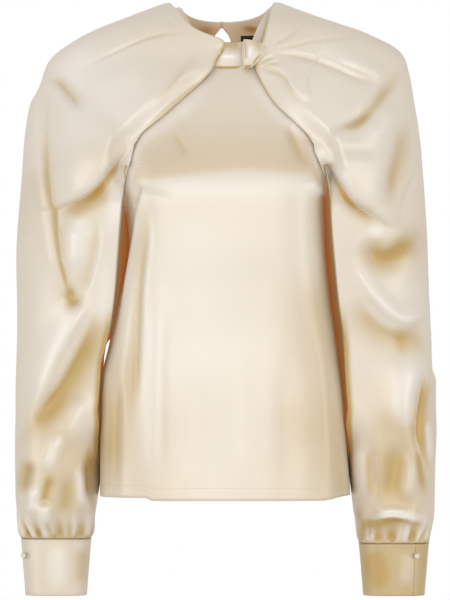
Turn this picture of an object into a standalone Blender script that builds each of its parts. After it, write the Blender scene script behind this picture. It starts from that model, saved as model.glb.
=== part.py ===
"""A satin blouse, filled out with nobody in it: long full sleeves, each cut in one with a
shoulder drape that is drawn to a knot beside the centre front of the neck.

Sizes are in millimetres. The origin is between the shoulders, level with their seams, +Z is up,
the front faces -Y, and the wearer's left is +X. Every cloth piece is a middle surface, worked
out from horizontal sections, that a Solidify modifier turns into a wall."""

import math
from collections import namedtuple

import bmesh
import bpy
from mathutils import Matrix, Vector

METRES = 0.001
WALL = 1.6
SEAM_GAP = 0.7           # between the middle surfaces' edges at a seam that meets edge to edge
LAYER = WALL + 0.45      # from one wall's middle to the next one's, where they lie on each other
SIDE_LAYER = WALL + 2.3  # the same where a sleeve hangs against the side of the body
LOOSE_LAYER = WALL + 2.0  # the same over the shoulders, whose slope narrows a level step
SEAM_LAYER = WALL + 1.0  # the same at the underarm, where the sleeve is sewn in

SIDES = {"right": -1, "left": 1}
UNDERARM_HEIGHT = -172.0
UNDERARM_REACH = 16.0    # how far above and below it the sleeve draws away from the body
PANEL_HALF_COLUMNS = 8
EDGE_FADE = 0.8          # a panel's folds fade out between this share of its width and its edge
BODY_POWER = 3.2         # 2 is an ellipse, more is squarer
SLEEVE_POWER = 2.7
NECK_POWER = 2.2
CUFF_POWER = 2.4

NECK_HALF_WIDTH = 54.0
NECK_FRONT = 62.0
NECK_BACK = 66.0
BAND_DEPTH = 30.0
BAND_TOP_FRONT = -16.0   # heights of the band's upper edge
BAND_TOP_SIDE = 23.0
BAND_TOP_BACK = 14.0
BAND_DIP = 1.4           # more keeps the edge high for longer before it dips
BAND_COLUMNS = 36
BAND_ROWS = 3

KEYHOLE_CENTRE = -4.0
KEYHOLE_BOTTOM = -93.0

SLEEVE_END = {"right": -633.6, "left": -639.2}
DRAPE_COLUMNS = 29       # from the front edge, over the outer side, to the back edge
UNDER_COLUMNS = 13       # the rest of the ring, along the side of the body
TUBE_EDGE_ANGLE = 52.0   # from the tube's front or back to where the drape's edges run down it
TUBE_FROM = -560.0       # the sleeve is a plain tube below this height
TUBE_TO = -470.0
WEB_SHARE = 0.35         # the part of the inner side's columns that lies behind its turn
GATHERS = 14
GATHER_DEPTH = 3.2
GATHER_HEIGHT = 46.0
GATHER_RISE = 10.0       # a gather reaches its full depth this far above the seam
EDGE_LIMIT = 0.94        # a drape's edge comes no nearer to the oval's side than this share
LOOSE_FROM = -150.0      # the drape's looser layer over the shoulders begins between these
LOOSE_TO = -110.0

CUFF_CENTRE = 210.5
CUFF_FORWARD = 14.0
CUFF_HALF_WIDTH = 43.0   # at the top; the cuff narrows towards the hand
CUFF_HALF_DEPTH = 27.0
CUFF_END_WIDTH = 37.5
CUFF_END_DEPTH = 25.0
CUFF_TOP = {"right": -634.2, "left": -639.8}
CUFF_BOTTOM = -705.0
CUFF_SLIT = 0.9          # between the cuff's ends
CUFF_COLUMNS = 30
CUFF_ROWS = 3
BUTTON_HEIGHT = -655.0
BUTTON_ANGLE = {"right": 59.0, "left": 34.0}  # from straight ahead, towards the outer side

BUTTON_RADIUS = 3.6
BUTTON_SEGMENTS = 12
BUTTON_RINGS = 8
NECK_BUTTON_HEIGHT = 10.5
LOOP_THREAD = 0.55
LOOP_LENGTH = 6.0
LOOP_WIDTH = 3.7
LOOP_STEPS = 16
LOOP_SIDES = 6
STAND_OFF = 0.35

KNOT_CENTRE = (28.7, -73.6, -32.5)
KNOT_HALF = (7.4, 9.2, 19.0)
KNOT_RIDGES = 5
KNOT_RIDGE_DEPTH = 0.5
KNOT_POWER = 2.6
KNOT_SEGMENTS = 20
KNOT_RINGS = 12

LABEL_FROM = 20.0        # along x, inside the back of the band
LABEL_TO = 46.0
LABEL_TOP = -2.0
LABEL_BOTTOM = -14.0
LABEL_COLUMNS = 6
LABEL_ROWS = 2

SEARCH_ROUNDS = 30       # halvings, for the place where the neck opening cuts a section
SMALL_ANGLE = 0.01       # for a tangent taken from two near points
LEAST_ANGLE = 0.001      # less than this is no opening at all

# The body's horizontal sections: how far each side, the front and the back lie from the middle.
Section = namedtuple("Section", "height right left front back")
BODY_SECTIONS = (
    Section(-578, 158, 156, 116, 112),
    Section(-557, 158, 154, 115, 110),
    Section(-510, 157, 151, 113, 106),
    Section(-461, 155, 148, 112, 103),
    Section(-434, 151, 144, 111, 101),
    Section(-392, 141, 138, 110, 98),
    Section(-329, 131, 130, 112, 95),
    Section(-265, 121, 124, 116, 97),
    Section(-212, 126, 123, 117, 101),
    Section(-172, 136, 134, 111, 104),
    Section(-139, 144, 144, 102, 104),
    Section(-100, 150, 150, 88, 99),
    Section(-60, 152, 152, 70, 87),
    Section(-46, 151, 151, 64.1, 80),
    Section(-20, 146, 146, 55, 68.1),
    Section(0, 132, 132, 48, 58),
    Section(8, 118, 118, 43, 50),
    Section(17, 92, 92, 35, 40),
    Section(24, 70, 70, 22, 25),
    Section(28, 58, 58, 5, 6),
)

PANEL_ROWS = (-578, -556, -528, -496, -461, -426, -392, -360, -329, -297, -265, -238, -213,
              -191, -172, -163, -148, -126, -102, -90, -74, -58, -46, -38, -28, -20, -10, 0,
              8, 16, 23, 26, 28)

ArmholeRow = namedtuple("ArmholeRow", "height angle")
ARMHOLE = (
    ArmholeRow(-172, 90),
    ArmholeRow(-163, 72),
    ArmholeRow(-148, 62),
    ArmholeRow(-126, 57),
    ArmholeRow(-90, 55),
    ArmholeRow(-50, 58),
    ArmholeRow(-20, 67),
    ArmholeRow(0, 80),
    ArmholeRow(8, 90),
)

KeyholeRow = namedtuple("KeyholeRow", "height half_width")
KEYHOLE = (
    KeyholeRow(-93, 0.0),
    KeyholeRow(-86, 6.0),
    KeyholeRow(-65, 12.0),
    KeyholeRow(-40, 13.5),
    KeyholeRow(-15, 12.0),
    KeyholeRow(-4, 9.0),
    KeyholeRow(4, 3.0),
    KeyholeRow(8, 0.6),
    KeyholeRow(30, 0.6),
)

# The drape and the sleeve seen from the front: how far its outer side and its front edge lie
# from the centre line, on each side, and how far its back edge does.
Outline = namedtuple("Outline", "height outer_right outer_left front_right front_left back")
OUTLINES = (
    Outline(-633, 254, 254, 167, 167, 167),
    Outline(-618, 257, 257, 164, 164, 164),
    Outline(-600, 259, 260, 160, 160, 160),
    Outline(-560, 261, 261, 155, 155, 155),
    Outline(-510, 261, 261, 158, 154, 158),
    Outline(-461, 260, 259, 157, 151, 157),
    Outline(-392, 259, 257, 150, 147, 152),
    Outline(-329, 257, 254, 140, 140, 147),
    Outline(-265, 254, 252, 132, 134, 140),
    Outline(-212, 249, 249, 127, 129, 132),
    Outline(-172, 245, 246, 117, 117, 122),
    Outline(-139, 242, 243, 107, 105, 113),
    Outline(-116, 239, 240, 85, 82, 105),
    Outline(-99, 236, 237, 67, 64, 99),
    Outline(-86, 233, 235, 51, 54, 94),
    Outline(-61, 228, 231, 22, 41, 85),
    Outline(-49, 224, 228, 13, 37, 80),
    Outline(-40, 220, 226, 8, 36.2, 77),
    Outline(-27, 207, 218, 1, 36.4, 72),
    Outline(-17, 192, 203, -5, 40, 68),
    Outline(-10, 181, 187, 16, 44, 66),
    Outline(-1, 163, 168, 39, 50, 63),
    Outline(10, 135, 131, 49, 53, 60),
    Outline(21, 107, 99, 56, 56, 61),
    Outline(30, 83, 76, 67, 60, 66),
    Outline(34, 72, 66, 68, 62, 66),
)

# The sleeve's horizontal oval, of which the drape is the outer part: how far its middle lies from
# the centre line and in front of it, and how far its front and back lie from that middle.
Oval = namedtuple("Oval", "height centre forward front back")
SLEEVE_OVALS = (
    Oval(-633, 210.5, 14, 28, 28),
    Oval(-625, 210.5, 14, 33, 33),
    Oval(-612, 210.5, 14, 46, 44),
    Oval(-594, 210, 14, 56, 52),
    Oval(-555, 208, 13, 61, 58),
    Oval(-510, 202, 12, 62, 61),
    Oval(-461, 166, 11, 64, 64),
    Oval(-434, 146, 10, 67, 67),
    Oval(-392, 118, 9, 73, 72),
    Oval(-335, 82, 7, 83, 80),
    Oval(-265, 38, 4, 100, 93),
    Oval(-212, 12, 1, 111, 103),
    Oval(-172, 0, 0, 116, 110),
    Oval(-139, 0, 0, 110, 111),
    Oval(-100, 0, 0, 99, 107),
    Oval(-70, 0, 0, 86, 98),
    Oval(-40, 0, 0, 72, 88),
    Oval(-14, 0, 0, 66, 76),
    Oval(2, 0, 0, 61, 68),
    Oval(16, 0, 0, 49, 56),
    Oval(27, 0, 0, 32, 36),
    Oval(34, 0, 0, 15, 17),
)

# Where the sleeve's inner side turns back along the side of the body: the share of its width that
# does, on each side, and how far behind the middle the turn lies, as a share of the back's depth.
Web = namedtuple("Web", "height right left depth")
WEBS = (
    Web(-560, 0, 0, 0.4),
    Web(-520, 1, 1, 0.4),
    Web(-446, 1, 1, 0.45),
    Web(-431, 0, 1, 0.5),
    Web(-394, 0, 1, 0.55),
    Web(-376, 1, 1, 0.62),
    Web(-342, 1, 1, 0.7),
)

# The lowest row is the seam to the cuff, at SLEEVE_END.
SLEEVE_ROWS = (None, -628, -617, -603, -582, -553, -518, -484, -456, -434, -413, -392, -370, -340,
               -306, -272, -238, -204, -172, -155, -139, -118, -99, -80, -61, -45,
               -31, -17, -10, -1, 10, 21, 30, 34)

# Soft folds, as straight runs seen from the front: a ridge has a height over zero.
Fold = namedtuple("Fold", "from_x from_z to_x to_z width height")
SLEEVE_FOLDS = {
    "right": (
        Fold(118, -132, 158, -174, 15, 9),
        Fold(158, -174, 214, -206, 16, 7),
        Fold(124, -168, 152, -212, 14, -7),
        Fold(152, -212, 196, -240, 15, -7),
        Fold(226, -150, 211, -274, 10, -5),
        Fold(211, -274, 191, -345, 11, -6),
        Fold(161, -305, 184, -357, 14, 6),
        Fold(184, -357, 231, -461, 16, 6),
        Fold(60, -6, 187, -50, 9, -3),
        Fold(220, -60, 166, -106, 10, -5),
        Fold(170, -500, 240, -560, 14, -4),
    ),
    "left": (
        Fold(118, -142, 156, -192, 15, 9),
        Fold(156, -192, 206, -226, 16, 7),
        Fold(126, -178, 154, -230, 14, -7),
        Fold(154, -230, 194, -262, 15, -7),
        Fold(201, -275, 209, -305, 11, -6),
        Fold(175, -317, 226, -362, 13, 6),
        Fold(226, -362, 246, -346, 12, 4),
        Fold(215, -44, 168, -118, 10, -5),
        Fold(168, -118, 128, -124, 9, -4),
        Fold(70, -30, 197, -70, 9, -3),
        Fold(165, -480, 235, -540, 14, -4),
    ),
}
BODY_FOLDS = (
    Fold(-119, -380, -121, -578, 9, -4),
    Fold(-94, -420, -95, -578, 10, 3),
    Fold(-40, -470, -42, -578, 16, -2.5),
    Fold(20, -440, 22, -578, 18, 2.5),
    Fold(70, -450, 74, -578, 14, -2.5),
    Fold(118, -400, 124, -578, 10, 3.5),
    Fold(-61, -102, -46, -170, 8, -2),
    Fold(81, -116, 98, -165, 8, -2),
)


def value_at(rows, height, name):
    """One column of a table at a height, on a smooth curve that never overshoots."""
    heights = [row.height for row in rows]
    values = [getattr(row, name) for row in rows]
    if height <= heights[0]:
        return values[0]
    if height >= heights[-1]:
        return values[-1]
    slopes = [(values[i + 1] - values[i]) / (heights[i + 1] - heights[i])
              for i in range(len(rows) - 1)]
    tangents = [slopes[0]]
    for before, after in zip(slopes, slopes[1:]):
        product = before * after
        tangents.append(2 * product / (before + after) if product > 0 else 0.0)
    tangents.append(slopes[-1])
    i = next(k for k in range(len(slopes)) if height <= heights[k + 1])
    step = heights[i + 1] - heights[i]
    t = (height - heights[i]) / step
    start = (1 + 2 * t) * (1 - t) ** 2 * values[i] + t * (1 - t) ** 2 * step * tangents[i]
    end = t * t * (3 - 2 * t) * values[i + 1] + t * t * (t - 1) * step * tangents[i + 1]
    return start + end


def mix(start, end, share):
    return start + (end - start) * share


def smooth_step(start, end, value):
    share = min(1.0, max(0.0, (value - start) / (end - start)))
    return share * share * (3 - 2 * share)


def rounded(value, power):
    """A sine or cosine bent so that a circle becomes a rounder or squarer oval."""
    return math.copysign(abs(value) ** (2 / power), value)


def oval_point(half_width, front, back, power, angle):
    """A point of an oval ring, its angle taken from straight ahead towards +X."""
    ahead = rounded(math.cos(angle), power)
    depth = front if ahead > 0 else back
    return half_width * rounded(math.sin(angle), power), -depth * ahead


def oval_reach(x, y, half_width, front, back, power):
    """How far out a point lies: 1 is on the oval, less is inside it."""
    depth = front if y < 0 else back
    return (abs(x / half_width) ** power + abs(y / depth) ** power) ** (1 / power)


def angle_at_x(x, half_width, power):
    share = min(1.0, abs(x) / half_width)
    return math.copysign(math.asin(share ** (power / 2)), x)


def body_size(height, side_name, grow=0.0):
    """Half width, front depth and back depth of the body on one side at a height."""
    return tuple(value_at(BODY_SECTIONS, height, name) + grow
                 for name in (side_name, "front", "back"))


def neck_size(grow=0.0):
    return NECK_HALF_WIDTH + grow, NECK_FRONT + grow, NECK_BACK + grow


def fold_push(folds, x, height):
    """How far the folds move the cloth out at a place seen from the front."""
    push = 0.0
    for fold in folds:
        run_x = fold.to_x - fold.from_x
        run_z = fold.to_z - fold.from_z
        along = ((x - fold.from_x) * run_x + (height - fold.from_z) * run_z)
        along = min(1.0, max(0.0, along / (run_x ** 2 + run_z ** 2)))
        away = math.hypot(x - fold.from_x - along * run_x, height - fold.from_z - along * run_z)
        push += fold.height * math.exp(-(away / fold.width) ** 2)
    return push


def pushed_out(x, y, centre_x, distance):
    direction = Vector((x - centre_x, y)).normalized()
    return x + direction.x * distance, y + direction.y * distance


def keep_outside(x, y, size, power):
    """Moves a point straight out of an oval, if it is inside."""
    reach = oval_reach(x, y, *size, power)
    if reach >= 1:
        return x, y
    return x / reach, y / reach


def make_material(name, colour, roughness):
    material = bpy.data.materials.new(name)
    material.use_nodes = True
    shader = material.node_tree.nodes["Principled BSDF"]
    shader.inputs["Base Color"].default_value = (*colour, 1.0)
    shader.inputs["Roughness"].default_value = roughness
    shader.inputs["Metallic"].default_value = 0.0
    return material


def add_object(name, mesh, material):
    item = bpy.data.objects.new(name, mesh)
    bpy.context.scene.collection.objects.link(item)
    mesh.materials.append(material)
    mesh.shade_smooth()
    return item


def add_cloth(name, points, cells, material):
    """A wall round a middle surface: points by key in millimetres, cells as corner keys."""
    mesh = bpy.data.meshes.new(name)
    shape = bmesh.new()
    corners = {key: shape.verts.new(Vector(point) * METRES) for key, point in points.items()}
    for cell in cells:
        shape.faces.new([corners[key] for key in cell])
    shape.to_mesh(mesh)
    shape.free()
    item = add_object(name, mesh, material)
    wall = item.modifiers.new("wall", "SOLIDIFY")
    wall.thickness = WALL * METRES
    wall.offset = 0.0
    wall.use_even_offset = False
    wall.use_rim = True
    return item


def neck_angle(height, is_front, side_name="left"):
    """Where the body's section leaves the neck opening, from the centre of the panel."""
    size = body_size(height, side_name)
    around_neck = neck_size(LAYER)
    low = 0.0
    high = math.pi / 2
    for _ in range(SEARCH_ROUNDS):
        middle = (low + high) / 2
        turn = middle if is_front else math.pi - middle
        x, y = oval_point(*size, BODY_POWER, turn)
        if oval_reach(x, y, *around_neck, NECK_POWER) < 1:
            low = middle
        else:
            high = middle
    return high if high > LEAST_ANGLE else 0.0


def panel_angles(height, is_front, side_name):
    """The panel's inner and outer edge at a height, as angles from its centre."""
    inner = neck_angle(height, is_front, side_name)
    outer = math.radians(value_at(ARMHOLE, height, "angle"))
    if not is_front and inner == 0.0 and height > KEYHOLE_BOTTOM:
        half_width = value_at(KEYHOLE, height, "half_width")
        half_width += SIDES[side_name] * KEYHOLE_CENTRE
        inner = angle_at_x(half_width, body_size(height, side_name)[0], BODY_POWER)
    return inner, outer


def is_split(height, is_front):
    """Whether the neck opening or the keyhole parts the panel at a height."""
    if neck_angle(height, is_front) > 0:
        return True
    return not is_front and height > KEYHOLE_BOTTOM


def panel_point(height, column, is_front, side_name):
    inner, outer = panel_angles(height, is_front, side_name)
    share = column / PANEL_HALF_COLUMNS
    angle = mix(inner, outer, share)
    turn = angle if is_front else math.pi - angle
    x, y = oval_point(*body_size(height, side_name), BODY_POWER, turn)
    x *= SIDES[side_name]
    y += -SEAM_GAP / 2 if is_front else SEAM_GAP / 2
    at_x = x if is_front else -x
    edge_fade = smooth_step(1.0, EDGE_FADE, share)
    x, y = pushed_out(x, y, 0.0, fold_push(BODY_FOLDS, at_x, height) * edge_fade)
    return x, y, height


def build_panel(name, is_front, material):
    """Front or back: both halves share their centre line wherever nothing parts them."""
    def key_at(row, side_name, column):
        shared = column == 0 and not is_split(PANEL_ROWS[row], is_front)
        return row, "middle" if shared else side_name, column

    points = {}
    cells = []
    for side_name in SIDES:
        for row, height in enumerate(PANEL_ROWS):
            for column in range(PANEL_HALF_COLUMNS + 1):
                key = key_at(row, side_name, column)
                points[key] = panel_point(height, column, is_front, side_name)
        for row in range(len(PANEL_ROWS) - 1):
            for column in range(PANEL_HALF_COLUMNS):
                cell = [key_at(row, side_name, column), key_at(row, side_name, column + 1),
                        key_at(row + 1, side_name, column + 1), key_at(row + 1, side_name, column)]
                turned = (side_name == "left") != is_front
                cells.append(cell[::-1] if turned else cell)
    return add_cloth(name, points, cells, material)


def sleeve_oval(height, side_name):
    """The sleeve's oval at a height: its middle, then half width, front depth and back depth."""
    centre = value_at(SLEEVE_OVALS, height, "centre")
    forward = value_at(SLEEVE_OVALS, height, "forward")
    half_width = value_at(OUTLINES, height, "outer_" + side_name) - centre
    front = value_at(SLEEVE_OVALS, height, "front")
    back = value_at(SLEEVE_OVALS, height, "back")
    return centre, forward, (half_width, front, back)


def edge_angle(height, centre, half_width, name):
    """Where the drape's front or back edge lies on the oval, from straight ahead or behind."""
    edge = min(centre + EDGE_LIMIT * half_width, value_at(OUTLINES, height, name))
    angle = angle_at_x(edge - centre, half_width, SLEEVE_POWER)
    tube = smooth_step(TUBE_TO, TUBE_FROM, height)
    return mix(angle, -math.radians(TUBE_EDGE_ANGLE), tube)


def drape_angles(height, side_name):
    centre, _, size = sleeve_oval(height, side_name)
    front = edge_angle(height, centre, size[0], "front_" + side_name)
    back = math.pi - edge_angle(height, centre, size[0], "back")
    return front, back


def oval_place(height, side_name, angle):
    centre, forward, size = sleeve_oval(height, side_name)
    x, y = oval_point(*size, SLEEVE_POWER, angle)
    return centre + x, y - forward


def drape_point(height, column, side_name):
    """A point on the outer part of the sleeve's oval, from the front edge round to the back."""
    front, back = drape_angles(height, side_name)
    half = (DRAPE_COLUMNS - 1) / 2
    if column <= half:
        angle = mix(front, math.pi / 2, column / half)
    else:
        angle = mix(math.pi / 2, back, column / half - 1)
    return oval_place(height, side_name, angle)


def layer_at(height):
    """How far the sleeve's middle surface keeps from the body's, at a height."""
    layer = mix(SIDE_LAYER, LOOSE_LAYER, smooth_step(LOOSE_FROM, LOOSE_TO, height))
    return mix(SEAM_LAYER, layer, smooth_step(0.0, UNDERARM_REACH, abs(height - UNDERARM_HEIGHT)))


def under_point(height, column, side_name):
    """A point between the drape's back and front edges, on the side next to the body."""
    share = (column - DRAPE_COLUMNS + 1) / (UNDER_COLUMNS + 1)
    front, back = drape_angles(height, side_name)
    start = oval_place(height, side_name, back)
    end = oval_place(height, side_name, front)
    half_width, _, back_depth = body_size(height, side_name, layer_at(height))
    web = value_at(WEBS, height, side_name)
    depth = value_at(WEBS, height, "depth")
    web_x = half_width * (1 - depth ** BODY_POWER) ** (1 / BODY_POWER)
    turn_x = mix(mix(start[0], end[0], WEB_SHARE), web_x, web)
    turn_y = mix(mix(start[1], end[1], WEB_SHARE), depth * back_depth, web)
    if share < WEB_SHARE:
        x = mix(start[0], turn_x, share / WEB_SHARE)
        y = mix(start[1], turn_y, share / WEB_SHARE)
    else:
        x = mix(turn_x, end[0], (share - WEB_SHARE) / (1 - WEB_SHARE))
        y = mix(turn_y, end[1], (share - WEB_SHARE) / (1 - WEB_SHARE))
    tube = smooth_step(TUBE_TO, TUBE_FROM, height)
    round_x, round_y = oval_place(height, side_name, mix(back, front + 2 * math.pi, share))
    return mix(x, round_x, tube), mix(y, round_y, tube)


def sleeve_point(height, column, side_name):
    place = drape_point if column < DRAPE_COLUMNS else under_point
    x, y = place(height, column, side_name)
    seam = SLEEVE_END[side_name]
    fade = smooth_step(seam, seam + GATHER_HEIGHT, height)
    rise = smooth_step(seam, seam + GATHER_RISE, height)
    wave = math.sin(2 * math.pi * GATHERS * column / (DRAPE_COLUMNS + UNDER_COLUMNS))
    push = GATHER_DEPTH * wave * rise * (1 - fade)
    push += fold_push(SLEEVE_FOLDS[side_name], x, height)
    centre = value_at(SLEEVE_OVALS, height, "centre")
    x, y = pushed_out(x, y, centre, push)
    x, y = keep_outside(x, y, body_size(height, side_name, layer_at(height)), BODY_POWER)
    x, y = keep_outside(x, y, neck_size(LAYER), NECK_POWER)
    return SIDES[side_name] * x, y, height


def build_sleeve(name, side_name, material):
    """A closed tube up to the underarm, and an open sheet over the shoulder above it."""
    columns = DRAPE_COLUMNS + UNDER_COLUMNS
    rows = (SLEEVE_END[side_name],) + SLEEVE_ROWS[1:]
    points = {}
    for row, height in enumerate(rows):
        row_columns = columns if height <= UNDERARM_HEIGHT else DRAPE_COLUMNS
        for column in range(row_columns):
            points[row, column] = sleeve_point(height, column, side_name)
    cells = []
    for row in range(len(rows) - 1):
        for column in range(columns):
            after = (column + 1) % columns
            cell = [(row, column), (row, after), (row + 1, after), (row + 1, column)]
            closes = after or rows[row + 1] <= UNDERARM_HEIGHT
            if closes and all(key in points for key in cell):
                cells.append(cell if side_name == "left" else cell[::-1])
    return add_cloth(name, points, cells, material)


def band_top(angle):
    """Height of the neck band's upper edge: low in front, high at the sides."""
    ahead = math.cos(angle)
    lowest = BAND_TOP_FRONT if ahead > 0 else BAND_TOP_BACK
    return mix(BAND_TOP_SIDE, lowest, abs(ahead) ** BAND_DIP)


def build_neck_band(material):
    """A stand round the neck whose ends meet at the keyhole's top, behind."""
    points = {}
    cells = []
    size = neck_size()
    for column in range(BAND_COLUMNS + 1):
        share = column / BAND_COLUMNS
        top = band_top(mix(-math.pi, math.pi, share))
        for row in range(BAND_ROWS + 1):
            height = top - BAND_DEPTH * (1 - row / BAND_ROWS)
            opening = value_at(KEYHOLE, height, "half_width")
            from_left = math.pi - angle_at_x(opening + KEYHOLE_CENTRE, size[0], NECK_POWER)
            from_right = math.pi - angle_at_x(opening - KEYHOLE_CENTRE, size[0], NECK_POWER)
            angle = mix(-from_right, from_left, share)
            points[column, row] = (*oval_point(*size, NECK_POWER, angle), height)
    for column in range(BAND_COLUMNS):
        for row in range(BAND_ROWS):
            cells.append([(column, row), (column + 1, row),
                          (column + 1, row + 1), (column, row + 1)])
    return add_cloth("neck_band", points, cells, material)


def cuff_frame(side_name, angle, height):
    """A point of the cuff's middle surface and its outward direction."""
    side = SIDES[side_name]
    narrowing = (CUFF_TOP[side_name] - height) / (CUFF_TOP[side_name] - CUFF_BOTTOM)
    half_width = mix(CUFF_HALF_WIDTH, CUFF_END_WIDTH, narrowing)
    half_depth = mix(CUFF_HALF_DEPTH, CUFF_END_DEPTH, narrowing)
    half = (half_width, half_depth, half_depth)
    x, y = oval_point(*half, CUFF_POWER, angle)
    ahead_x, ahead_y = oval_point(*half, CUFF_POWER, angle + SMALL_ANGLE)
    outward = Vector((y - ahead_y, ahead_x - x, 0)).normalized()
    if outward.dot(Vector((x, y, 0))) < 0:
        outward.negate()
    place = Vector((side * (CUFF_CENTRE + x), y - CUFF_FORWARD, height))
    return place, Vector((side * outward.x, outward.y, 0))


def build_cuff(name, side_name, material):
    """A deep cuff: a strip whose two ends meet at the button."""
    points = {}
    cells = []
    opening = math.radians(BUTTON_ANGLE[side_name])
    half_slit = CUFF_SLIT / 2 / CUFF_HALF_DEPTH
    for column in range(CUFF_COLUMNS + 1):
        angle = mix(opening + half_slit, opening + 2 * math.pi - half_slit,
                    column / CUFF_COLUMNS)
        for row in range(CUFF_ROWS + 1):
            height = mix(CUFF_BOTTOM, CUFF_TOP[side_name], row / CUFF_ROWS)
            points[column, row] = cuff_frame(side_name, angle, height)[0]
    for column in range(CUFF_COLUMNS):
        for row in range(CUFF_ROWS):
            cell = [(column, row), (column + 1, row), (column + 1, row + 1), (column, row + 1)]
            cells.append(cell if side_name == "left" else cell[::-1])
    return add_cloth(name, points, cells, material)


def facing(place, outward):
    """A placement whose local Z points out of the cloth and whose local X is level."""
    up = Vector((0, 0, 1))
    level = up.cross(outward).normalized()
    turn = Matrix((level, outward.cross(level), outward)).transposed().to_4x4()
    return Matrix.Translation(place * METRES) @ turn


def build_button(name, place, outward, material):
    shape = bmesh.new()
    bmesh.ops.create_uvsphere(shape, u_segments=BUTTON_SEGMENTS, v_segments=BUTTON_RINGS,
                              radius=BUTTON_RADIUS * METRES)
    mesh = bpy.data.meshes.new(name)
    shape.to_mesh(mesh)
    shape.free()
    item = add_object(name, mesh, material)
    rise = WALL / 2 + STAND_OFF + BUTTON_RADIUS
    item.matrix_world = facing(place + outward * rise, outward)
    return item


def build_loop(name, place, outward, material):
    """A thread loop lying on the cloth round the foot of a button."""
    shape = bmesh.new()
    rings = []
    for step in range(LOOP_STEPS):
        angle = 2 * math.pi * step / LOOP_STEPS
        middle = Vector((LOOP_LENGTH * math.cos(angle), LOOP_WIDTH * math.sin(angle), 0))
        outward_flat = Vector((LOOP_WIDTH * math.cos(angle), LOOP_LENGTH * math.sin(angle), 0))
        outward_flat.normalize()
        ring = []
        for side in range(LOOP_SIDES):
            turn = 2 * math.pi * side / LOOP_SIDES
            offset = outward_flat * math.cos(turn) + Vector((0, 0, math.sin(turn)))
            ring.append(shape.verts.new((middle + offset * LOOP_THREAD) * METRES))
        rings.append(ring)
    for step, ring in enumerate(rings):
        following = rings[(step + 1) % LOOP_STEPS]
        for side in range(LOOP_SIDES):
            after = (side + 1) % LOOP_SIDES
            shape.faces.new([ring[side], following[side], following[after], ring[after]])
    bmesh.ops.recalc_face_normals(shape, faces=shape.faces)
    mesh = bpy.data.meshes.new(name)
    shape.to_mesh(mesh)
    shape.free()
    item = add_object(name, mesh, material)
    rise = WALL / 2 + STAND_OFF + LOOP_THREAD
    item.matrix_world = facing(place + outward * rise, outward)
    return item


def build_knot(material):
    """The wrap that holds the drapes: a rounded roll of cloth with upright ridges."""
    shape = bmesh.new()
    bmesh.ops.create_uvsphere(shape, u_segments=KNOT_SEGMENTS, v_segments=KNOT_RINGS,
                              radius=1.0)
    for corner in shape.verts:
        turn = math.atan2(corner.co.y, corner.co.x)
        ridge = 1 - KNOT_RIDGE_DEPTH / KNOT_HALF[1] * (1 + math.cos(KNOT_RIDGES * turn)) / 2
        for axis in range(3):
            corner.co[axis] = rounded(corner.co[axis], KNOT_POWER)
        corner.co.x *= KNOT_HALF[0] * ridge
        corner.co.y *= KNOT_HALF[1] * ridge
        corner.co.z *= KNOT_HALF[2]
        corner.co = (corner.co + Vector(KNOT_CENTRE)) * METRES
    mesh = bpy.data.meshes.new("knot")
    shape.to_mesh(mesh)
    shape.free()
    return add_object("knot", mesh, material)


def build_label(material):
    """A plain label flat against the inside of the band, on the wearer's left."""
    points = {}
    cells = []
    size = neck_size(-LAYER)
    from_angle = math.pi - angle_at_x(LABEL_FROM, size[0], NECK_POWER)
    to_angle = math.pi - angle_at_x(LABEL_TO, size[0], NECK_POWER)
    for column in range(LABEL_COLUMNS + 1):
        for row in range(LABEL_ROWS + 1):
            angle = mix(from_angle, to_angle, column / LABEL_COLUMNS)
            height = mix(LABEL_BOTTOM, LABEL_TOP, row / LABEL_ROWS)
            points[column, row] = (*oval_point(*size, NECK_POWER, angle), height)
    for column in range(LABEL_COLUMNS):
        for row in range(LABEL_ROWS):
            cells.append([(column + 1, row), (column, row),
                          (column, row + 1), (column + 1, row + 1)])
    return add_cloth("label", points, cells, material)


def clear_scene():
    for item in list(bpy.data.objects):
        bpy.data.objects.remove(item, do_unlink=True)


def main():
    clear_scene()
    satin = make_material("ivory satin", (0.82, 0.73, 0.58), 0.3)
    covered = make_material("satin button", (0.85, 0.78, 0.68), 0.3)
    thread = make_material("ivory thread", (0.75, 0.66, 0.5), 0.6)
    dark_tape = make_material("dark label tape", (0.05, 0.025, 0.015), 0.7)
    build_panel("front", True, satin)
    build_panel("back", False, satin)
    build_neck_band(satin)
    build_knot(satin)
    build_label(dark_tape)
    for side_name in ("right", "left"):
        build_sleeve("sleeve_" + side_name, side_name, satin)
        build_cuff("cuff_" + side_name, side_name, satin)
        angle = math.radians(BUTTON_ANGLE[side_name])
        place, outward = cuff_frame(side_name, angle, BUTTON_HEIGHT)
        build_button("button_cuff_" + side_name, place, outward, covered)
        build_loop("loop_cuff_" + side_name, place, outward, thread)
    neck_place = Vector((KEYHOLE_CENTRE, NECK_BACK, NECK_BUTTON_HEIGHT))
    build_button("button_neck", neck_place, Vector((0, 1, 0)), covered)
    build_loop("loop_neck", neck_place, Vector((0, 1, 0)), thread)


main()
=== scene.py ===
import math
import bpy
import numpy as np
from mathutils import Matrix, Vector


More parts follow.
